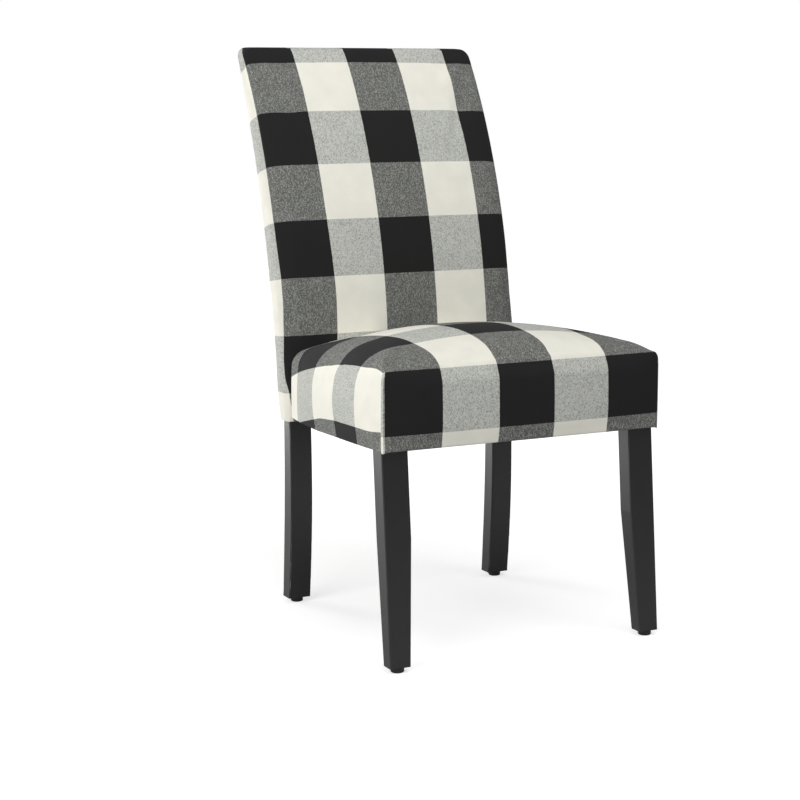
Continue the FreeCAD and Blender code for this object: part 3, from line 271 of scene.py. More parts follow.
def finish_piece(obj, replaced=()):
    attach(obj, BODY)
    if replaced:
        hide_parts(*replaced)


# Measuring the frame's forms with straight rays, as with a tape


def skin_of(*nodes):
    """The outer surfaces of some CAD nodes, for rays to meet. Held in millimetres: in metres the rays
    slip through the smallest facets."""
    points, faces = [], []
    for node in nodes:
        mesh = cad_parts[node].data
        first = len(points)
        points += [v.co / MM for v in mesh.vertices]
        faces += [[first + i for i in p.vertices] for p in mesh.polygons]
    return BVHTree.FromPolygons(points, faces)


def meet(skin, start, direction):
    """Where a ray first meets a skin."""
    hit = skin.ray_cast(Vector(start) / MM, Vector(direction).normalized())[0]
    if hit is None:
        raise RuntimeError("a measuring ray missed the frame at %s" % (tuple(start),))
    return hit * MM


def hem_height(skin, y, wall):
    """Lowest height at which a level ray from the side meets the seat's side wall, by halving. A hit
    far inside the wall is on an inner piece."""
    under, over = 0.30, SEAT_MIDDLE_Z
    far_inside = wall - 0.012
    for _ in range(14):
        z = (under + over) / 2
        hit = skin.ray_cast(Vector((0.5, y, z)) / MM, Vector((-1, 0, 0)))[0]
        if hit is not None and hit.x * MM > far_inside:
            over = z
        else:
            under = z
    return over


def around(skin, place, across, up, half_width, half_height, stop=None):
    """Right half of an outline, from the middle of its upper side to the middle of its lower one.

    The rays run at right angles to a spine inside the outline and fan round the spine's end.
    place is the outline's middle; stop is the height, measured from it, where the line ends. A ray that
    goes down a bolt's hole is left out.
    """
    reach = half_width + half_height
    spine = max(half_width - half_height, 0.0)
    rays = []
    steps = max(int(spine / (2 * MM)), 1)
    for i in range(steps + 1):
        rays.append((spine * i / steps, 90.0))
    rays += [(spine, 90.0 - 1.5 * i) for i in range(1, 120)]
    for i in range(steps + 1):
        rays.append((spine * (steps - i) / steps, -90.0))
    points = []
    for along, angle in rays:
        turn = math.radians(angle)
        out = across * math.cos(turn) + up * math.sin(turn)
        hit = meet(skin, place + across * along + out * reach, -out)
        sunk = bool(points) and (points[-1] - hit).dot(out) > 5 * MM
        if stop is not None and angle < 0:
            under = (points[-1] - hit).dot(across) > 4 * MM
            if under or (hit - place).dot(up) < stop:
                break
        elif sunk:
            continue
        points.append(hit)
    return points


def lengths(points):
    """Distance along a line of points at each of them."""
    total = [0.0]
    for a, b in zip(points, points[1:]):
        total.append(total[-1] + (b - a).length)
    return total


def spread(points, count):
    """A line of points drawn again with count steps, which are even but closer where the line turns."""
    total = lengths(points)
    turned = 0.0
    for i in range(1, len(points) - 1):
        before, after = points[i] - points[i - 1], points[i + 1] - points[i]
        if before.length > 0.02 * MM and after.length > 0.02 * MM:
            turned += before.angle(after)
        total[i] += TURN_WEIGHT * turned
    total[-1] += TURN_WEIGHT * turned
    result, k = [], 0
    for i in range(count + 1):
        want = total[-1] * i / count
        while k < len(total) - 2 and total[k + 1] < want:
            k += 1
        share = (want - total[k]) / max(total[k + 1] - total[k], 1e-12)
        result.append(points[k].lerp(points[k + 1], min(max(share, 0.0), 1.0)))
    return result


def read_line(line, place):
    """Value at a place on a line given by (place, value) pairs, straight between them."""
    for (place0, value0), (place1, value1) in zip(line, line[1:]):
        if place <= place1:
            return value0 + (value1 - value0) * (place - place0) / (place1 - place0)
    return line[-1][1]


def ease_in(value, low, high):
    """0 below low, 1 above high and smooth between them."""
    share = min(max((value - low) / (high - low), 0.0), 1.0)
    return share * share * (3 - 2 * share)


def corner_index(points, direction):
    return max(range(len(points)), key=lambda i: points[i].dot(direction))


# A closed box of squares, whose points are then placed on a form


def box_of_squares(name, low, high, counts):
    """Cube of the form's size, cut into even squares; returns it and each point's three counts."""
    deselect_all()
    middle = [(a + b) / 2 for a, b in zip(low, high)]
    extent = [b - a for a, b in zip(low, high)]
    bpy.ops.mesh.primitive_cube_add(size=1.0, location=middle)
    obj = bpy.context.object
    obj.name = name
    obj.data.name = name
    obj.scale = extent
    settle(obj)
    for axis in range(3):
        bpy.ops.object.mode_set(mode="EDIT")
        bpy.ops.mesh.select_all(action="DESELECT")
        bpy.ops.mesh.select_mode(type="EDGE")
        bpy.ops.object.mode_set(mode="OBJECT")
        for edge in obj.data.edges:
            a, b = [obj.data.vertices[i].co for i in edge.vertices]
            along = b - a
            edge.select = abs(along[axis]) > 0.9 * along.length
        bpy.ops.object.mode_set(mode="EDIT")
        bpy.ops.mesh.subdivide(number_cuts=counts[axis] - 1)
        bpy.ops.object.mode_set(mode="OBJECT")
    places = []
    for vertex in obj.data.vertices:
        shares = [(vertex.co[i] - low[i]) / extent[i] * counts[i] for i in range(3)]
        places.append(tuple(int(round(s)) for s in shares))
    return obj, places


def swell_cloth(obj, held, slack, cap):
    """Draws the cloth in a little, then lets it swell under pressure, held along its hem."""
    mesh = obj.data
    start = [v.co - v.normal * slack * (1.0 - hold) for v, hold in zip(mesh.vertices, held)]
    for vertex, place in zip(mesh.vertices, start):
        vertex.co = place
    pins = obj.vertex_groups.new(name="hem")
    for i, hold in enumerate(held):
        if hold > 0.0:
            pins.add([i], hold, "REPLACE")
    cloth = obj.modifiers.new("Cloth", "CLOTH")
    cloth.settings.quality = 5
    cloth.settings.mass = 0.3
    cloth.settings.tension_stiffness = 25.0
    cloth.settings.compression_stiffness = 25.0
    cloth.settings.shear_stiffness = 8.0
    cloth.settings.bending_stiffness = 1.5
    cloth.settings.use_pressure = True
    cloth.settings.uniform_pressure_force = 4.0
    cloth.settings.effector_weights.gravity = 0.0
    cloth.settings.vertex_group_mass = pins.name
    cloth.collision_settings.use_collision = False
    scene = bpy.context.scene
    for step in range(1, 21):
        scene.frame_set(step)
    apply_modifiers(obj)
    scene.frame_set(1)
    for vertex, place in zip(obj.data.vertices, start):
        move = vertex.co - place
        if move.length > cap:
            vertex.co = place + move * (cap / move.length)
    obj.vertex_groups.clear()


def write_uv(obj, corner_uv):
    """Cloth coordinates in checks: corner_uv gives them for a face and one of its points."""
    layer = obj.data.uv_layers.new(name="cloth")
    for face in obj.data.polygons:
        for loop in face.loop_indices:
            layer.data[loop].uv = corner_uv(face, obj.data.loops[loop].vertex_index)


def subdivide_once(obj):
    modifier = obj.modifiers.new("Subdivision", "SUBSURF")
    modifier.levels = 1
    modifier.render_levels = 1
    apply_modifiers(obj)
    activate(obj)
    bpy.ops.object.shade_smooth()


# Materials


def check_cloth():
    """Cotton check, woven with warp-faced columns and weft rows of black and cream yarn."""
    made = bpy.data.materials.get("woven_cotton_check")
    if made:
        return made
    material, surface = new_material("woven_cotton_check")
    size, finish = sizes(), finishes()
    column, thread = size.column, size.thread
    uv = add_node(material, "ShaderNodeUVMap", {"uv_map": "cloth"})
    metres = add_node(material, "ShaderNodeVectorMath", {"operation": "SCALE", "Scale": column},
                      Vector=uv.outputs[0])
    # Yarns wander a little, which makes the edges of the checks uneven
    wander = add_node(material, "ShaderNodeTexNoise", {"Scale": 1 / (9 * MM), "Detail": 2.0},
                      Vector=metres.outputs[0])
    centred = add_node(material, "ShaderNodeVectorMath", {"operation": "SUBTRACT", 1: (0.5, 0.5, 0.5)},
                       _0=wander.outputs["Color"])
    shifted = add_node(material, "ShaderNodeVectorMath",
                       {"operation": "MULTIPLY_ADD", 1: (0.0009, 0.0009, 0.0)},
                       _0=centred.outputs[0], _2=metres.outputs[0])
    split = add_node(material, "ShaderNodeSeparateXYZ", None, Vector=shifted.outputs[0])
    u, v = split.outputs[0], split.outputs[1]

    def math_node(operation, first, second, **more):
        settings = {"operation": operation}
        links = {}
        for i, value in enumerate((first, second)):
            if isinstance(value, (int, float)):
                settings[i] = value
            else:
                links["_%d" % i] = value
        settings.update(more)
        return add_node(material, "ShaderNodeMath", settings, **links).outputs[0]

    def stripe(value, softness):
        """1 in the dark stripe that is centred on zero, 0 in the pale one."""
        fold = math_node("PINGPONG", value, column)
        ramp = add_node(material, "ShaderNodeMapRange",
                        {"interpolation_type": "SMOOTHSTEP", 1: column / 2 + softness,
                         2: column / 2 - softness, 3: 0.0, 4: 1.0}, _0=fold)
        return ramp.outputs[0]

    dark_warp = stripe(u, 0.4 * MM)
    dark_weft = stripe(math_node("ADD", v, column / 2), 0.4 * MM)
    # Which yarn lies on top: floats one thread wide and longer than wide, in a steep broken twill
    ends = add_node(material, "ShaderNodeVectorMath",
                    {"operation": "MULTIPLY", 1: (1 / thread, 0.62 / thread, 1.0)}, _0=metres.outputs[0])
    lean = add_node(material, "ShaderNodeSeparateXYZ", None, Vector=ends.outputs[0])
    stepped = math_node("MULTIPLY_ADD", math_node("FLOOR", lean.outputs[0], 0.0), 0.37)
    material.node_tree.links.new(lean.outputs[1], stepped.node.inputs[2])
    cell = add_node(material, "ShaderNodeCombineXYZ", None,
                    X=math_node("FLOOR", lean.outputs[0], 0.0), Y=math_node("FLOOR", stepped, 0.0))
    chance = add_node(material, "ShaderNodeTexWhiteNoise", {"noise_dimensions": "2D"},
                      Vector=cell.outputs[0])
    grain = add_node(material, "ShaderNodeTexNoise", {"Scale": 2.4, "Detail": 2.0, "Roughness": 0.6},
                     Vector=ends.outputs[0])
    height = add_node(material, "ShaderNodeMath", {"operation": "MULTIPLY_ADD", 1: 0.32},
                      _0=chance.outputs["Value"],
                      _2=math_node("MULTIPLY", grain.outputs["Fac"], 0.68)).outputs[0]
    warp_up = add_node(material, "ShaderNodeMapRange",
                       {"interpolation_type": "SMOOTHSTEP", 1: 0.34, 2: 0.50, 3: 0.46, 4: 0.84},
                       _0=height).outputs[0]
    cream, black = linear(finish.cream_yarn), linear(finish.black_yarn)
    warp = add_node(material, "ShaderNodeMix", {"data_type": "RGBA", 6: cream, 7: black}, _0=dark_warp)
    weft = add_node(material, "ShaderNodeMix", {"data_type": "RGBA", 6: cream, 7: black}, _0=dark_weft)
    top = add_node(material, "ShaderNodeMix", {"data_type": "RGBA"}, _0=warp_up,
                   _6=weft.outputs[2], _7=warp.outputs[2])
    # Painted shade: where the yarns differ, the sunken one lies in shade, so its colour is painted darker
    differ = math_node("ABSOLUTE", math_node("SUBTRACT", dark_warp, dark_weft), 0.0)
    sunken_painted_shade = add_node(material, "ShaderNodeMapRange", {1: 0.0, 2: 1.0, 3: 0.62, 4: 0.86},
                      _0=warp_up).outputs[0]
    shade = add_node(material, "ShaderNodeMix", {"data_type": "FLOAT", 2: 1.0}, _0=differ, _3=sunken_painted_shade)
    slub = add_node(material, "ShaderNodeTexNoise", {"Scale": 1 / (35 * MM), "Detail": 3.0},
                    Vector=metres.outputs[0])
    tone = add_node(material, "ShaderNodeMapRange", {1: 0.3, 2: 0.7, 3: 0.965, 4: 1.03},
                    _0=slub.outputs["Fac"]).outputs[0]
    # level is the painted shade of the sunken yarns times the yarns' uneven tone
    level = math_node("MULTIPLY", shade.outputs[0], tone)
    # Mixed yarns look a little cooler than either alone
    cool = add_node(material, "ShaderNodeMix",
                    {"data_type": "RGBA", 6: (1.0, 1.0, 1.0, 1.0), 7: (0.965, 1.0, 1.045, 1.0)}, _0=differ)
    tinted = add_node(material, "ShaderNodeVectorMath", {"operation": "MULTIPLY"},
                      _0=top.outputs[2], _1=cool.outputs[2])
    colour = add_node(material, "ShaderNodeVectorMath", {"operation": "SCALE"},
                      _0=tinted.outputs[0], Scale=level)
    feed(material, colour.outputs[0], surface, "Base Color")
    relief(material, surface, height, 0.35, 0.25 * MM)
    surface.inputs["Roughness"].default_value = 0.92
    surface.inputs["Specular IOR Level"].default_value = 0.18
    surface.inputs["Sheen Weight"].default_value = 0.03
    surface.inputs["Sheen Roughness"].default_value = 0.5
    return material


def stitch_thread():
    """Cream polyester sewing thread, with a faint twist and a soft shine."""
    made = bpy.data.materials.get("polyester_thread")
    if made:
        return made
    material, surface = new_material("polyester_thread")
    place = add_node(material, "ShaderNodeTexCoord")
    twist = add_node(material, "ShaderNodeTexWave",
                     {"Scale": 1 / (1.2 * MM), "Distortion": 0.5, "bands_direction": "DIAGONAL"},
                     Vector=place.outputs["Object"])
    two_tones(material, surface, twist.outputs["Fac"], linear("d8d3c4"), linear("f0ece0"))
    surface.inputs["Roughness"].default_value = 0.6
    return material


def espresso_wood():
    """Rubberwood under espresso stain and satin lacquer: near black, with a faint long grain."""
    made = bpy.data.materials.get("espresso_stained_wood")
    if made:
        return made
    material, surface = new_material("espresso_stained_wood")
    place = add_node(material, "ShaderNodeTexCoord")
    # Grain lines about 2 mm apart, drawn out along the leg
    drawn = add_node(material, "ShaderNodeVectorMath", {"operation": "MULTIPLY", 1: (500.0, 500.0, 14.0)},
                     _0=place.outputs["Object"])
    grain = add_node(material, "ShaderNodeTexNoise", {"Scale": 1.0, "Detail": 5.0, "Roughness": 0.6},
                     Vector=drawn.outputs[0]).outputs["Fac"]
    base = linear(finishes().espresso)
    two_tones(material, surface, grain, scaled(base, 0.8), scaled(base, 1.5))
    gloss_range(material, surface, grain, 0.30, 0.38)
    relief(material, surface, grain, 0.12, 0.1 * MM)
    surface.inputs["Specular IOR Level"].default_value = 0.75
    return material


def raw_wood(name, hex_colour):
    """Planed hardwood without finish: straight grain, dull."""
    made = bpy.data.materials.get(name)
    if made:
        return made
    material, surface = new_material(name)
    place = add_node(material, "ShaderNodeTexCoord")
    drawn = add_node(material, "ShaderNodeVectorMath", {"operation": "MULTIPLY", 1: (20.0, 260.0, 260.0)},
                     _0=place.outputs["Object"])
    grain = add_node(material, "ShaderNodeTexNoise", {"Scale": 1.0, "Detail": 4.0}, Vector=drawn.outputs[0])
    base = linear(hex_colour)
    two_tones(material, surface, grain.outputs["Fac"], scaled(base, 0.62), base)
    surface.inputs["Roughness"].default_value = 0.75
    return material


def plain_textile(name, low_hex, high_hex, grain_mm, roughness):
    """Unpatterned textile or foam: a fine two-tone grain with a matching relief."""
    made = bpy.data.materials.get(name)
    if made:
        return made
    material, surface = new_material(name)
    grain = object_noise(material, 1 / (grain_mm * MM), 3.0)
    two_tones(material, surface, grain, linear(low_hex), linear(high_hex))
    relief(material, surface, grain, 0.4, 0.2 * MM)
    surface.inputs["Roughness"].default_value = roughness
    return material


def moulded_plastic():
    """Black polyethylene, moulded with a fine matt grain."""
    material, surface = new_material("moulded_black_plastic")
    grain = object_noise(material, 1 / (0.8 * MM), 2.0)
    base = linear(finishes().glide)
    two_tones(material, surface, grain, base, scaled(base, 1.35))
    relief(material, surface, grain, 0.2, 0.1 * MM)
    surface.inputs["Roughness"].default_value = 0.5
    return material


def zinc_steel():
    """Steel with a thin zinc plating: pale grey metal with cloudy gloss."""
    material, surface = new_material("zinc_plated_steel")
    cloud = object_noise(material, 1 / (4 * MM), 3.0)
    two_tones(material, surface, cloud, linear("a9acae"), linear("c6c8c9"))
    gloss_range(material, surface, cloud, 0.28, 0.42)
    surface.inputs["Metallic"].default_value = 1.0
    return material


# Operators


class CHAIR_OT_seat(bpy.types.Operator):
    """Seat upholstery: crowned form in check cloth, lapped round its front corners"""
    bl_idname = "chair.seat"
    bl_label = "Seat upholstery"

    def execute(self, context):
        size = sizes()
        skin = skin_of("seat_cover")
        low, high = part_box("seat_cover")
        front, rear = low[1], high[1]
        depth = rear - front
        across, up = Vector((1, 0, 0)), Vector((0, 0, 1))
        half_width, half_height = 0.25, 0.07
        nx, nz = int(half_width / size.grid), 16
        # Stations from the front face to the rear, closer at both ends, and how far the outline is
        # drawn in at each
        ease = [SEAT_FIRST_STATION, 0.0062, size.lap, size.lap + 0.7 * MM, 0.0165]
        tail = [0.016, 0.0095, 0.0045, 0.0012]
        steps = int((depth - ease[-1] - tail[0]) / size.grid)
        stations = list(ease)
        stations += [ease[-1] + (depth - ease[-1] - tail[0]) * i / steps for i in range(1, steps)]
        stations += [depth - t for t in tail]
        ny = len(stations) - 1
        draw = {ny: 0.0018, ny - 1: 0.0004}
        rings = []
        for j, behind in enumerate(stations):
            y = front + behind
            wall = meet(skin, (0.5, y, SEAT_MIDDLE_Z), (-1, 0, 0)).x
            hem = hem_height(skin, y, wall)
            place = Vector((0, y, SEAT_MIDDLE_Z))
            line = around(skin, place, across, up, half_width, half_height, hem + HEM_CLEAR - place.z)
            line.append(Vector((line[-1].x, y, hem)))
            turn = corner_index(line, across + up)
            ring = spread(line[:turn + 1], nx) + spread(line[turn:], nz - 1)[1:-1]
            ring += [Vector((line[-1].x, y, hem + HEM_EDGE)), line[-1]]
            if j <= LAP_STATION:
                proud = LAP_PROUD * min(j + 1, LAP_STATION) / LAP_STATION
                ring = [p + Vector((proud * max(0.0, min(i - nx + 1, 2) / 2), 0, 0))
                        for i, p in enumerate(ring)]
            drawn = draw.get(j, 0.0)
            ring = [p - Vector((drawn * min(p.x / 0.2, 1.0), 0, drawn if i <= nx else 0.0))
                    for i, p in enumerate(ring)]
            rings.append(ring)
        counts = (2 * nx, ny, nz)
        obj, places = box_of_squares("seat_upholstery", low, high, counts)
        for vertex, place in zip(obj.data.vertices, places):
            vertex.co = self.point(skin, rings, place, counts)
        obj.data.update()
        held = []
        for i, j, k in places:
            hold = max(0.0, 1.0 - k / 3.0)
            if j >= ny - 2 or (abs(i - nx) == nx and j <= LAP_STATION + 1):
                hold = 1.0
            elif j >= ny - 6:
                hold = max(hold, 0.5)
            held.append(hold)
        swell_cloth(obj, held, size.slack, size.swell)
        self.lay_cloth(obj, rings, places, counts)
        subdivide_once(obj)
        set_material(obj, check_cloth())
        finish_piece(obj, SEAT_SOFT)
        return {"FINISHED"}

    def point(self, skin, rings, place, counts):
        """Place of one point of the box on the seat's form."""
        i, j, k = place
        nx, nz = counts[0] // 2, counts[2]
        side = -1.0 if i < nx else 1.0
        a = abs(i - nx)
        ring = rings[j]
        if k == nz:
            p = ring[a]
        elif a == nx:
            p = ring[nx + nz - k]
            if k == 0 and j <= LAP_STATION:
                p = p - Vector((0, 0, LAP_TIP))
        else:
            edge = ring[nx + nz - k]
            hem = ring[-1]
            if k == 0:
                x = hem.x - 2 * HEM_EDGE if a == nx - 1 else hem.x * a / nx
                p = Vector((x, hem.y, hem.z))
            else:
                share = (edge.z - hem.z) / (ring[nx].z - hem.z)
                x = edge.x * ring[a].x / ring[nx].x
                z = hem.z + (ring[a].z - hem.z) * share
                if j == 0:
                    y = meet(skin, (x, ring[a].y - 0.05, z), (0, 1, 0)).y
                else:
                    y = ring[a].y + 0.0009
                p = Vector((x, y, z))
        out = SEAT_REAR_FULLNESS * ease_in(p.y, -0.12, 0.08) * min(p.x / 0.2, 1.0) ** 2
        return Vector((side * (p.x + out), p.y, p.z))

    def round_corner(self, rings, point, in_front):
        """Distance from the middle of the front, level, by the tape round its upright corner."""
        radius = SEAT_CORNER_RADIUS
        straight = SEAT_HALF_WIDTH - radius
        if abs(point.x) <= straight:
            return abs(point.x)
        if in_front:
            return straight + radius * math.asin(min((abs(point.x) - straight) / radius, 1.0))
        behind = max(point.y - (rings[0][0].y - SEAT_FIRST_STATION), 0.0)
        if behind < radius:
            return straight + radius * math.acos(1 - behind / radius)
        return straight + radius * math.pi / 2 + behind - radius

    def lay_cloth(self, obj, rings, places, counts):
        """Cloth coordinates: one sheet over the top, the front and down the sides."""
        size = sizes()
        nx, nz = counts[0] // 2, counts[2]
        side_edge = SIDE_EDGE * size.column
        across = [lengths(ring) for ring in rings]
        along = []
        for t in range(nx + 1):
            line = [ring[t] for ring in rings]
            along.append([rings[0][t].z - SEAT_ROW_EDGE_Z + d for d in lengths(line)])
        fold = []
        for ring, total in zip(rings, across):
            t = next(n for n in range(1, len(total)) if total[n] > side_edge)
            share = (side_edge - total[t - 1]) / (total[t] - total[t - 1])
            fold.append(ring[t - 1].z + (ring[t].z - ring[t - 1].z) * share)

        def uv(face, index):
            i, j, k = places[index]
            spots = [places[n] for n in face.vertices]
            side = -1.0 if i < nx else 1.0
            a = abs(i - nx)
            point = obj.data.vertices[index].co
            on_side = all(abs(s[0] - nx) == nx for s in spots)
            below = any(s[2] < nz for s in spots)
            if on_side and all(s[1] >= LAP_STATION for s in spots):
                t = nx + nz - k
                u, v = across[j][t], read_line(SIDE_ROWS, rings[j][nx].y) * size.row
                if u > side_edge:
                    fall = (fold[j] - rings[j][t].z) / (fold[j] - read_line(BAND_LINE, rings[j][t].y))
                    u = (SIDE_EDGE + fall) * size.column
            elif below:
                u = self.round_corner(rings, point, all(s[1] == 0 for s in spots))
                v = (point.z - SEAT_ROW_EDGE_Z) * size.row / FRONT_ROW
                if all(s[2] == 0 for s in spots):
                    u = abs(point.x)
                    v = rings[0][-1].z - SEAT_ROW_EDGE_Z - (rings[j][a].y - rings[0][a].y)
            else:
                u, v = across[j][a], along[a][j]
                if j > LAP_STATION:
                    pulled = ease_in(rings[j][a].x, 0.14, 0.24)
                    v += (read_line(SIDE_ROWS, rings[j][a].y) * size.row - v) * pulled
            return side * u / size.column, v / size.row

        write_uv(obj, uv)


class CHAIR_OT_back(bpy.types.Operator):
    """Back upholstery: inside, sides and top of the back in one piece of check cloth"""
    bl_idname = "chair.back"
    bl_label = "Back upholstery"

    def execute(self, context):
        size = sizes()
        skin = skin_of("back_cover_front", "back_cover_rear")
        low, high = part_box("back_cover_front")
        rear_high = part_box("back_cover_rear")[1]
        across, rearwards = Vector((1, 0, 0)), Vector((0, 1, 0))
        nx, ny = int(0.23 / size.grid), 9
        top, hem = high[2], low[2]
        ends = [hem, hem + HEM_EDGE, hem + 0.008]
        cap = [top - 0.026, top - 0.016, top - 0.0088, top - 0.0035]
        steps = int((cap[0] - ends[-1]) / size.grid)
        levels = ends + [ends[-1] + (cap[0] - ends[-1]) * i / steps for i in range(1, steps)] + cap
        nz = len(levels) - 1
        rings = []
        for z in levels:
            probe = z if z > hem else hem + 0.0005
            inside = meet(skin, (0, -0.5, probe), (0, 1, 0))
            outside = meet(skin, (0, 0.8, probe), (0, -1, 0))
            place = (inside + outside) / 2
            half_depth = (outside - inside).length / 2
            half = abs(meet(skin, (0.5, place.y, probe), (-1, 0, 0)).x)
            line = around(skin, place, across, -rearwards, half, half_depth)
            first = corner_index(line, across - rearwards)
            second = corner_index(line, across + rearwards)
            ring = spread(line[:first + 1], nx) + spread(line[first:second + 1], ny)[1:]
            ring += spread(line[second:], nx)[1:]
            for p in ring:
                p.z = z
            rings.append(ring)
        counts = (2 * nx, ny, nz)
        box_low = (low[0], low[1], hem)
        box_high = (high[0], rear_high[1], top)
        obj, places = box_of_squares("back_upholstery", box_low, box_high, counts)
        for vertex, place in zip(obj.data.vertices, places):
            vertex.co = self.point(skin, rings, place, counts)
        obj.data.update()
        held = [1.0 if j >= ny - 1 else max(0.0, 1.0 - k / 3.0) for i, j, k in places]
        swell_cloth(obj, held, 0.2 * size.slack, 0.6 * size.swell)
        self.lay_cloth(obj, rings, places, counts)
        subdivide_once(obj)
        set_material(obj, check_cloth())
        finish_piece(obj, BACK_SOFT)
        return {"FINISHED"}

    def point(self, skin, rings, place, counts):
        """Place of one point of the box on the back's form."""
        i, j, k = place
        nx, ny, nz = counts[0] // 2, counts[1], counts[2]
        side = -1.0 if i < nx else 1.0
        a = abs(i - nx)
        ring = rings[k]
        if j == 0:
            p = ring[a]
        elif a == nx:
            p = ring[nx + j]
        elif j == ny:
            p = ring[2 * nx + ny - a]
        else:
            edge = ring[nx + j]
            front, rear = ring[a], ring[2 * nx + ny - a]
            share = j / ny
            x = edge.x * a / nx
            y = front.y + (rear.y - front.y) * share
            z = ring[a].z
            if k == nz:
                z = meet(skin, (x, y, z + 0.05), (0, 0, -1)).z
            p = Vector((x, y, z))
        return Vector((side * p.x, p.y, p.z))

    def lay_cloth(self, obj, rings, places, counts):
        """Cloth coordinates: across by the tape, up along the back's lean."""
        size = sizes()
        nx, ny, nz = counts[0] // 2, counts[1], counts[2]
        across = [lengths(ring) for ring in rings]
        centre_y = rings[0][0].y + BACK_LEAN_RADIUS

        def climb(y, z):
            rise = z - BACK_LEAN_START_Z
            if rise < 0:
                return rise
            return BACK_LEAN_RADIUS * math.atan2(rise, centre_y - y)

        edge_y = centre_y - math.sqrt(BACK_LEAN_RADIUS ** 2 - (BACK_ROW_EDGE_Z - BACK_LEAN_START_Z) ** 2)
        edge = climb(edge_y, BACK_ROW_EDGE_Z)
        over_top = [climb(p.y, p.z) - edge - size.row for p in rings[nz]]

        def uv(face, index):
            i, j, k = places[index]
            spots = [places[n] for n in face.vertices]
            side = -1.0 if i < nx else 1.0
            a = abs(i - nx)
            point = obj.data.vertices[index].co
            v = climb(point.y, point.z) - edge - size.row
            on_front = all(s[1] == 0 for s in spots)
            on_rear = all(s[1] == ny for s in spots)
            on_side = all(abs(s[0] - nx) == nx for s in spots)
            if on_front:
                u = across[k][a]
            elif on_side:
                u = across[k][nx + j]
            elif on_rear and all(s[2] >= nz - 4 for s in spots):
                u = across[k][a]
                v = over_top[a] + BACK_TOP_TURN + rings[nz][a].z - point.z
            elif on_rear:
                u = across[k][2 * nx + ny - a]
            else:
                u = across[k][a]
                if k == nz:
                    v = over_top[a] + (point.y - rings[nz][a].y)
            if side < 0:
                u += read_line(BACK_PULL, point.z) * ease_in(u, 0.0, BACK_PULL_REACH)
            return (side * u - BACK_COLUMN_X) / size.column, v / size.row

        write_uv(obj, uv)


class CHAIR_OT_outside_back(bpy.types.Operator):
    """Outside back: a flat panel with folded edges, closed by hand over the rear of the back"""
    bl_idname = "chair.outside_back"
    bl_label = "Outside back"

    def execute(self, context):
        size = sizes()
        skin = skin_of("back_cover_front", "back_cover_rear")
        low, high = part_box("back_cover_rear")
        hem = low[2] + PANEL_HEM
        half = min(high[0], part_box("back_cover_front")[1][0]) - PANEL_SIDE
        height = high[2] - PANEL_TOP - hem
        deselect_all()
        bpy.ops.mesh.primitive_plane_add(size=1.0, location=(0, 0, 0))
        obj = bpy.context.object
        obj.name = obj.data.name = "outside_back_panel"
        bpy.ops.object.mode_set(mode="EDIT")
        bpy.ops.mesh.subdivide(number_cuts=63)
        bpy.ops.object.mode_set(mode="OBJECT")
        for vertex in obj.data.vertices:
            x, z = vertex.co.x * 2 * half, hem + (vertex.co.y + 0.5) * height
            y = meet(skin, (x, 0.8, z), (0, -1, 0)).y + 0.5 * MM
            vertex.co = (x, y, z)
        obj.data.update()
        activate(obj)
        bpy.ops.object.mode_set(mode="EDIT")
        bpy.ops.mesh.select_all(action="SELECT")
        bpy.ops.mesh.flip_normals()
        bpy.ops.object.mode_set(mode="OBJECT")
        if sum(p.normal.y for p in obj.data.polygons) < 0:
            raise RuntimeError("the outside back faces inwards")
        thick = obj.modifiers.new("Solidify", "SOLIDIFY")
        thick.thickness = size.cloth
        thick.offset = 1.0
        rounded = obj.modifiers.new("Bevel", "BEVEL")
        rounded.width = 0.45 * MM
        rounded.segments = 2
        rounded.angle_limit = math.radians(40)
        apply_modifiers(obj)

        def uv(face, index):
            point = obj.data.vertices[index].co
            return (point.x - PANEL_COLUMN_X) / size.column, (point.z - PANEL_ROW_Z) / size.row

        write_uv(obj, uv)
        activate(obj)
        bpy.ops.object.shade_smooth_by_angle(angle=math.radians(40))
        set_material(obj, check_cloth())
        finish_piece(obj, (OUTSIDE_BACK,))
        return {"FINISHED"}


class CHAIR_OT_stitches(bpy.types.Operator):
    """Stitches behind the lapped edge of each front corner"""
    bl_idname = "chair.stitches"
    bl_label = "Stitches"

    def execute(self, context):
        size = sizes()
        skin = skin_of("seat_cover")
        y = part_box("seat_cover")[0][1] + size.lap + 2.2 * MM
        for side, name in ((-1, "left"), (1, "right")):
            parts = []
            z = STITCHED_Z[0]
            while z < STITCHED_Z[1]:
                x = meet(skin, (side * 0.5, y, z), (-side, 0, 0)).x
                deselect_all()
                bpy.ops.mesh.primitive_uv_sphere_add(segments=8, ring_count=6, radius=1.0,
                                                     location=(x, y, z))
                stitch = bpy.context.object
                stitch.scale = (0.30 * MM, 0.32 * MM, 1.05 * MM)
                parts.append(stitch)
                z += size.stitch
            for part in parts:
                part.select_set(True)
            bpy.context.view_layer.objects.active = parts[0]
            bpy.ops.object.join()
            row = bpy.context.object
            row.name = row.data.name = "seat_corner_stitches_" + name
            settle(row)
            bpy.ops.object.shade_smooth()
            bpy.context.scene.cursor.location = (0, 0, 0)
            set_material(row, stitch_thread())
            finish_piece(row)
        return {"FINISHED"}


class CHAIR_OT_wood(bpy.types.Operator):
    """Espresso finish on the legs, plain wood on the hidden frame"""
    bl_idname = "chair.wood"
    bl_label = "Wood"

    def execute(self, context):
        for node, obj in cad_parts.items():
            if node in WOOD_SHOWN:
                set_material(obj, espresso_wood())
            elif node in ("seat_dowels", "back_dowels"):
                set_material(obj, raw_wood("turned_beech", "d2b48a"))
            elif node == "back_board":
                set_material(obj, raw_wood("bent_fibreboard", "8a6a48"))
            elif "rail" in node or "block_" in node:
                set_material(obj, raw_wood("planed_hardwood", finishes().raw_wood))
        return {"FINISHED"}


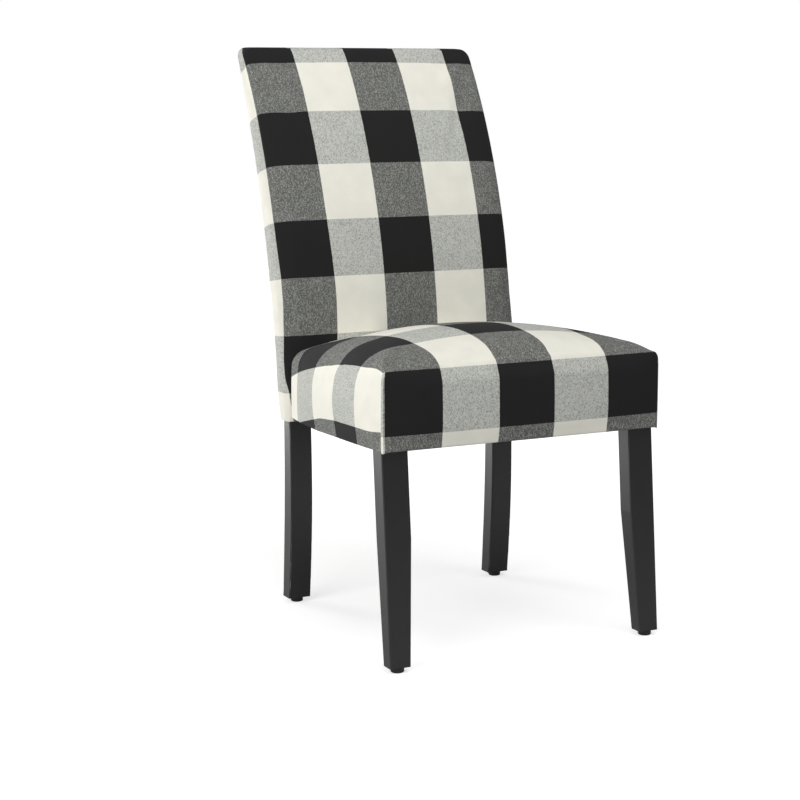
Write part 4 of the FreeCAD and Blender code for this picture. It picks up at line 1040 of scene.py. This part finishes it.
class CHAIR_OT_fittings(bpy.types.Operator):
    """Glides, bolts, screws, nails, staples and the textiles that the covers hide"""
    bl_idname = "chair.fittings"
    bl_label = "Fittings"

    def execute(self, context):
        steel, plastic = zinc_steel(), moulded_plastic()
        for node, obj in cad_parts.items():
            if node in GLIDES:
                set_material(obj, plastic)
            elif "webbing" in node:
                set_material(obj, plain_textile("jute_webbing", "7a6746", "a88f63", 1.4, 0.9))
            elif node == "seat_deck_cloth":
                set_material(obj, plain_textile("cotton_deck_cloth", "a39a84", "c4baa2", 0.9, 0.95))
            elif node == "dust_cover":
                set_material(obj, plain_textile("nonwoven_dust_cloth", "151515", "262626", 1.6, 0.95))
            elif "foam" in node or "pad" in node:
                set_material(obj, plain_textile("polyurethane_foam", "d9d0a8", "efe7c4", 1.2, 0.95))
            elif "wadding" in node:
                set_material(obj, plain_textile("polyester_wadding", "e0e0de", "f4f4f2", 3.0, 0.95))
            elif "cover" in node and "staples" not in node:
                continue
            elif any(word in node for word in ("bolt", "screw", "nail", "staple")):
                set_material(obj, steel)
        return {"FINISHED"}


class CHAIR_OT_studio(bpy.types.Operator):
    """Pale floor, soft light and the camera"""
    bl_idname = "chair.studio"
    bl_label = "Studio"

    def execute(self, context):
        scene = context.scene
        settings = scene.chair_studio
        scene.view_settings.view_transform = "Standard"
        self.camera(scene, settings)
        self.room(scene, settings)
        self.floor()
        self.lamp("key_light", (-3.0, -1.5, 1.9), (0.0, 0.0, 0.5), 2.4, settings.key)
        self.lamp("top_light", (0.2, -1.2, 3.0), (0.0, -0.1, 0.5), 2.2, settings.top)
        self.lamp("kicker_light", (-1.7, 3.3, 0.55), (0.0, 0.0, 0.25), 1.3, settings.kicker)
        return {"FINISHED"}

    def camera(self, scene, settings):
        data = bpy.data.cameras.new("camera")
        data.lens = settings.lens
        data.sensor_width = 36.0
        camera = bpy.data.objects.new("camera", data)
        scene.collection.objects.link(camera)
        camera.location = (-1.55992, -2.95039, 0.92458)
        camera.rotation_euler = (math.radians(90 - 9.4514), 0.0, math.radians(-26.838))
        scene.camera = camera

    def room(self, scene, settings):
        """Even light from all round; the camera sees plain white."""
        world = bpy.data.worlds.new("room")
        scene.world = world
        world.use_nodes = True
        tree = world.node_tree
        tree.nodes.clear()
        path = tree.nodes.new("ShaderNodeLightPath")
        lit = tree.nodes.new("ShaderNodeBackground")
        lit.inputs["Strength"].default_value = settings.room
        seen = tree.nodes.new("ShaderNodeBackground")
        seen.inputs["Strength"].default_value = 1.0
        mix = tree.nodes.new("ShaderNodeMixShader")
        tree.links.new(path.outputs["Is Camera Ray"], mix.inputs[0])
        tree.links.new(lit.outputs[0], mix.inputs[1])
        tree.links.new(seen.outputs[0], mix.inputs[2])
        output = tree.nodes.new("ShaderNodeOutputWorld")
        tree.links.new(mix.outputs[0], output.inputs["Surface"])
        for node in (lit, seen):
            node.inputs["Color"].default_value = (1.0, 1.0, 1.0, 1.0)

    def floor(self):
        deselect_all()
        bpy.ops.mesh.primitive_plane_add(size=40.0, location=(0, 0, 0))
        floor = bpy.context.object
        floor.name = "studio_floor"
        settle(floor)
        material, surface = new_material("painted_studio_floor")
        place = add_node(material, "ShaderNodeTexCoord")
        cloud = add_node(material, "ShaderNodeTexNoise", {"Scale": 1.5, "Detail": 2.0},
                         Vector=place.outputs["Object"])
        base = linear(finishes().floor)
        two_tones(material, surface, cloud.outputs["Fac"], scaled(base, 0.99), base)
        surface.inputs["Roughness"].default_value = 1.0
        surface.inputs["Specular IOR Level"].default_value = 0.0
        surface.inputs["Emission Color"].default_value = (1.0, 1.0, 1.0, 1.0)
        # The camera sees the floor white, less so under the chair, whose shadow stays
        far = add_node(material, "ShaderNodeVectorMath", {"operation": "LENGTH"}, _0=place.outputs["Object"])
        level = add_node(material, "ShaderNodeMapRange",
                         {"interpolation_type": "SMOOTHSTEP", 1: 0.5, 2: 1.5, 3: 0.62, 4: 0.86},
                         _0=far.outputs["Value"])
        path = add_node(material, "ShaderNodeLightPath")
        lift = add_node(material, "ShaderNodeMath", {"operation": "MULTIPLY"},
                        _0=path.outputs["Is Camera Ray"], _1=level.outputs[0])
        feed(material, lift.outputs[0], surface, "Emission Strength")
        set_material(floor, material)

    def lamp(self, name, place, aim, width, power):
        data = bpy.data.lights.new(name, "AREA")
        data.shape = "SQUARE"
        data.size = width
        data.energy = power
        lamp = bpy.data.objects.new(name, data)
        bpy.context.scene.collection.objects.link(lamp)
        lamp.location = place
        lamp.visible_camera = False
        lamp.rotation_euler = (Vector(aim) - Vector(place)).to_track_quat("-Z", "Y").to_euler()


class CHAIR_PT_panel(bpy.types.Panel):
    """Lists the chair's operators and settings"""
    bl_idname = "CHAIR_PT_panel"
    bl_label = "Parsons chair"
    bl_space_type = "VIEW_3D"
    bl_region_type = "UI"
    bl_category = "Parsons chair"

    def draw(self, context):
        for operator in OPERATORS:
            self.layout.operator(operator.bl_idname)
        for group in (context.scene.chair_cloth, context.scene.chair_finishes, context.scene.chair_studio):
            for name in group.bl_rna.properties.keys():
                if name not in ("rna_type", "name"):
                    self.layout.prop(group, name)


GROUPS = (ClothSizes, Finishes, StudioSettings)
OPERATORS = (CHAIR_OT_studio, CHAIR_OT_seat, CHAIR_OT_back, CHAIR_OT_outside_back, CHAIR_OT_stitches,
             CHAIR_OT_wood, CHAIR_OT_fittings)


def register():
    for item in GROUPS + OPERATORS + (CHAIR_PT_panel,):
        bpy.utils.register_class(item)
    bpy.types.Scene.chair_cloth = bpy.props.PointerProperty(type=ClothSizes)
    bpy.types.Scene.chair_finishes = bpy.props.PointerProperty(type=Finishes)
    bpy.types.Scene.chair_studio = bpy.props.PointerProperty(type=StudioSettings)


def unregister():
    for name in ("chair_cloth", "chair_finishes", "chair_studio"):
        delattr(bpy.types.Scene, name)
    for item in reversed(GROUPS + OPERATORS + (CHAIR_PT_panel,)):
        bpy.utils.unregister_class(item)


def main():
    register()
    bpy.ops.chair.studio()
    bpy.ops.chair.seat()
    bpy.ops.chair.back()
    bpy.ops.chair.outside_back()
    bpy.ops.chair.stitches()
    bpy.ops.chair.wood()
    bpy.ops.chair.fittings()
    deselect_all()


if __name__ == "__main__":
    main()
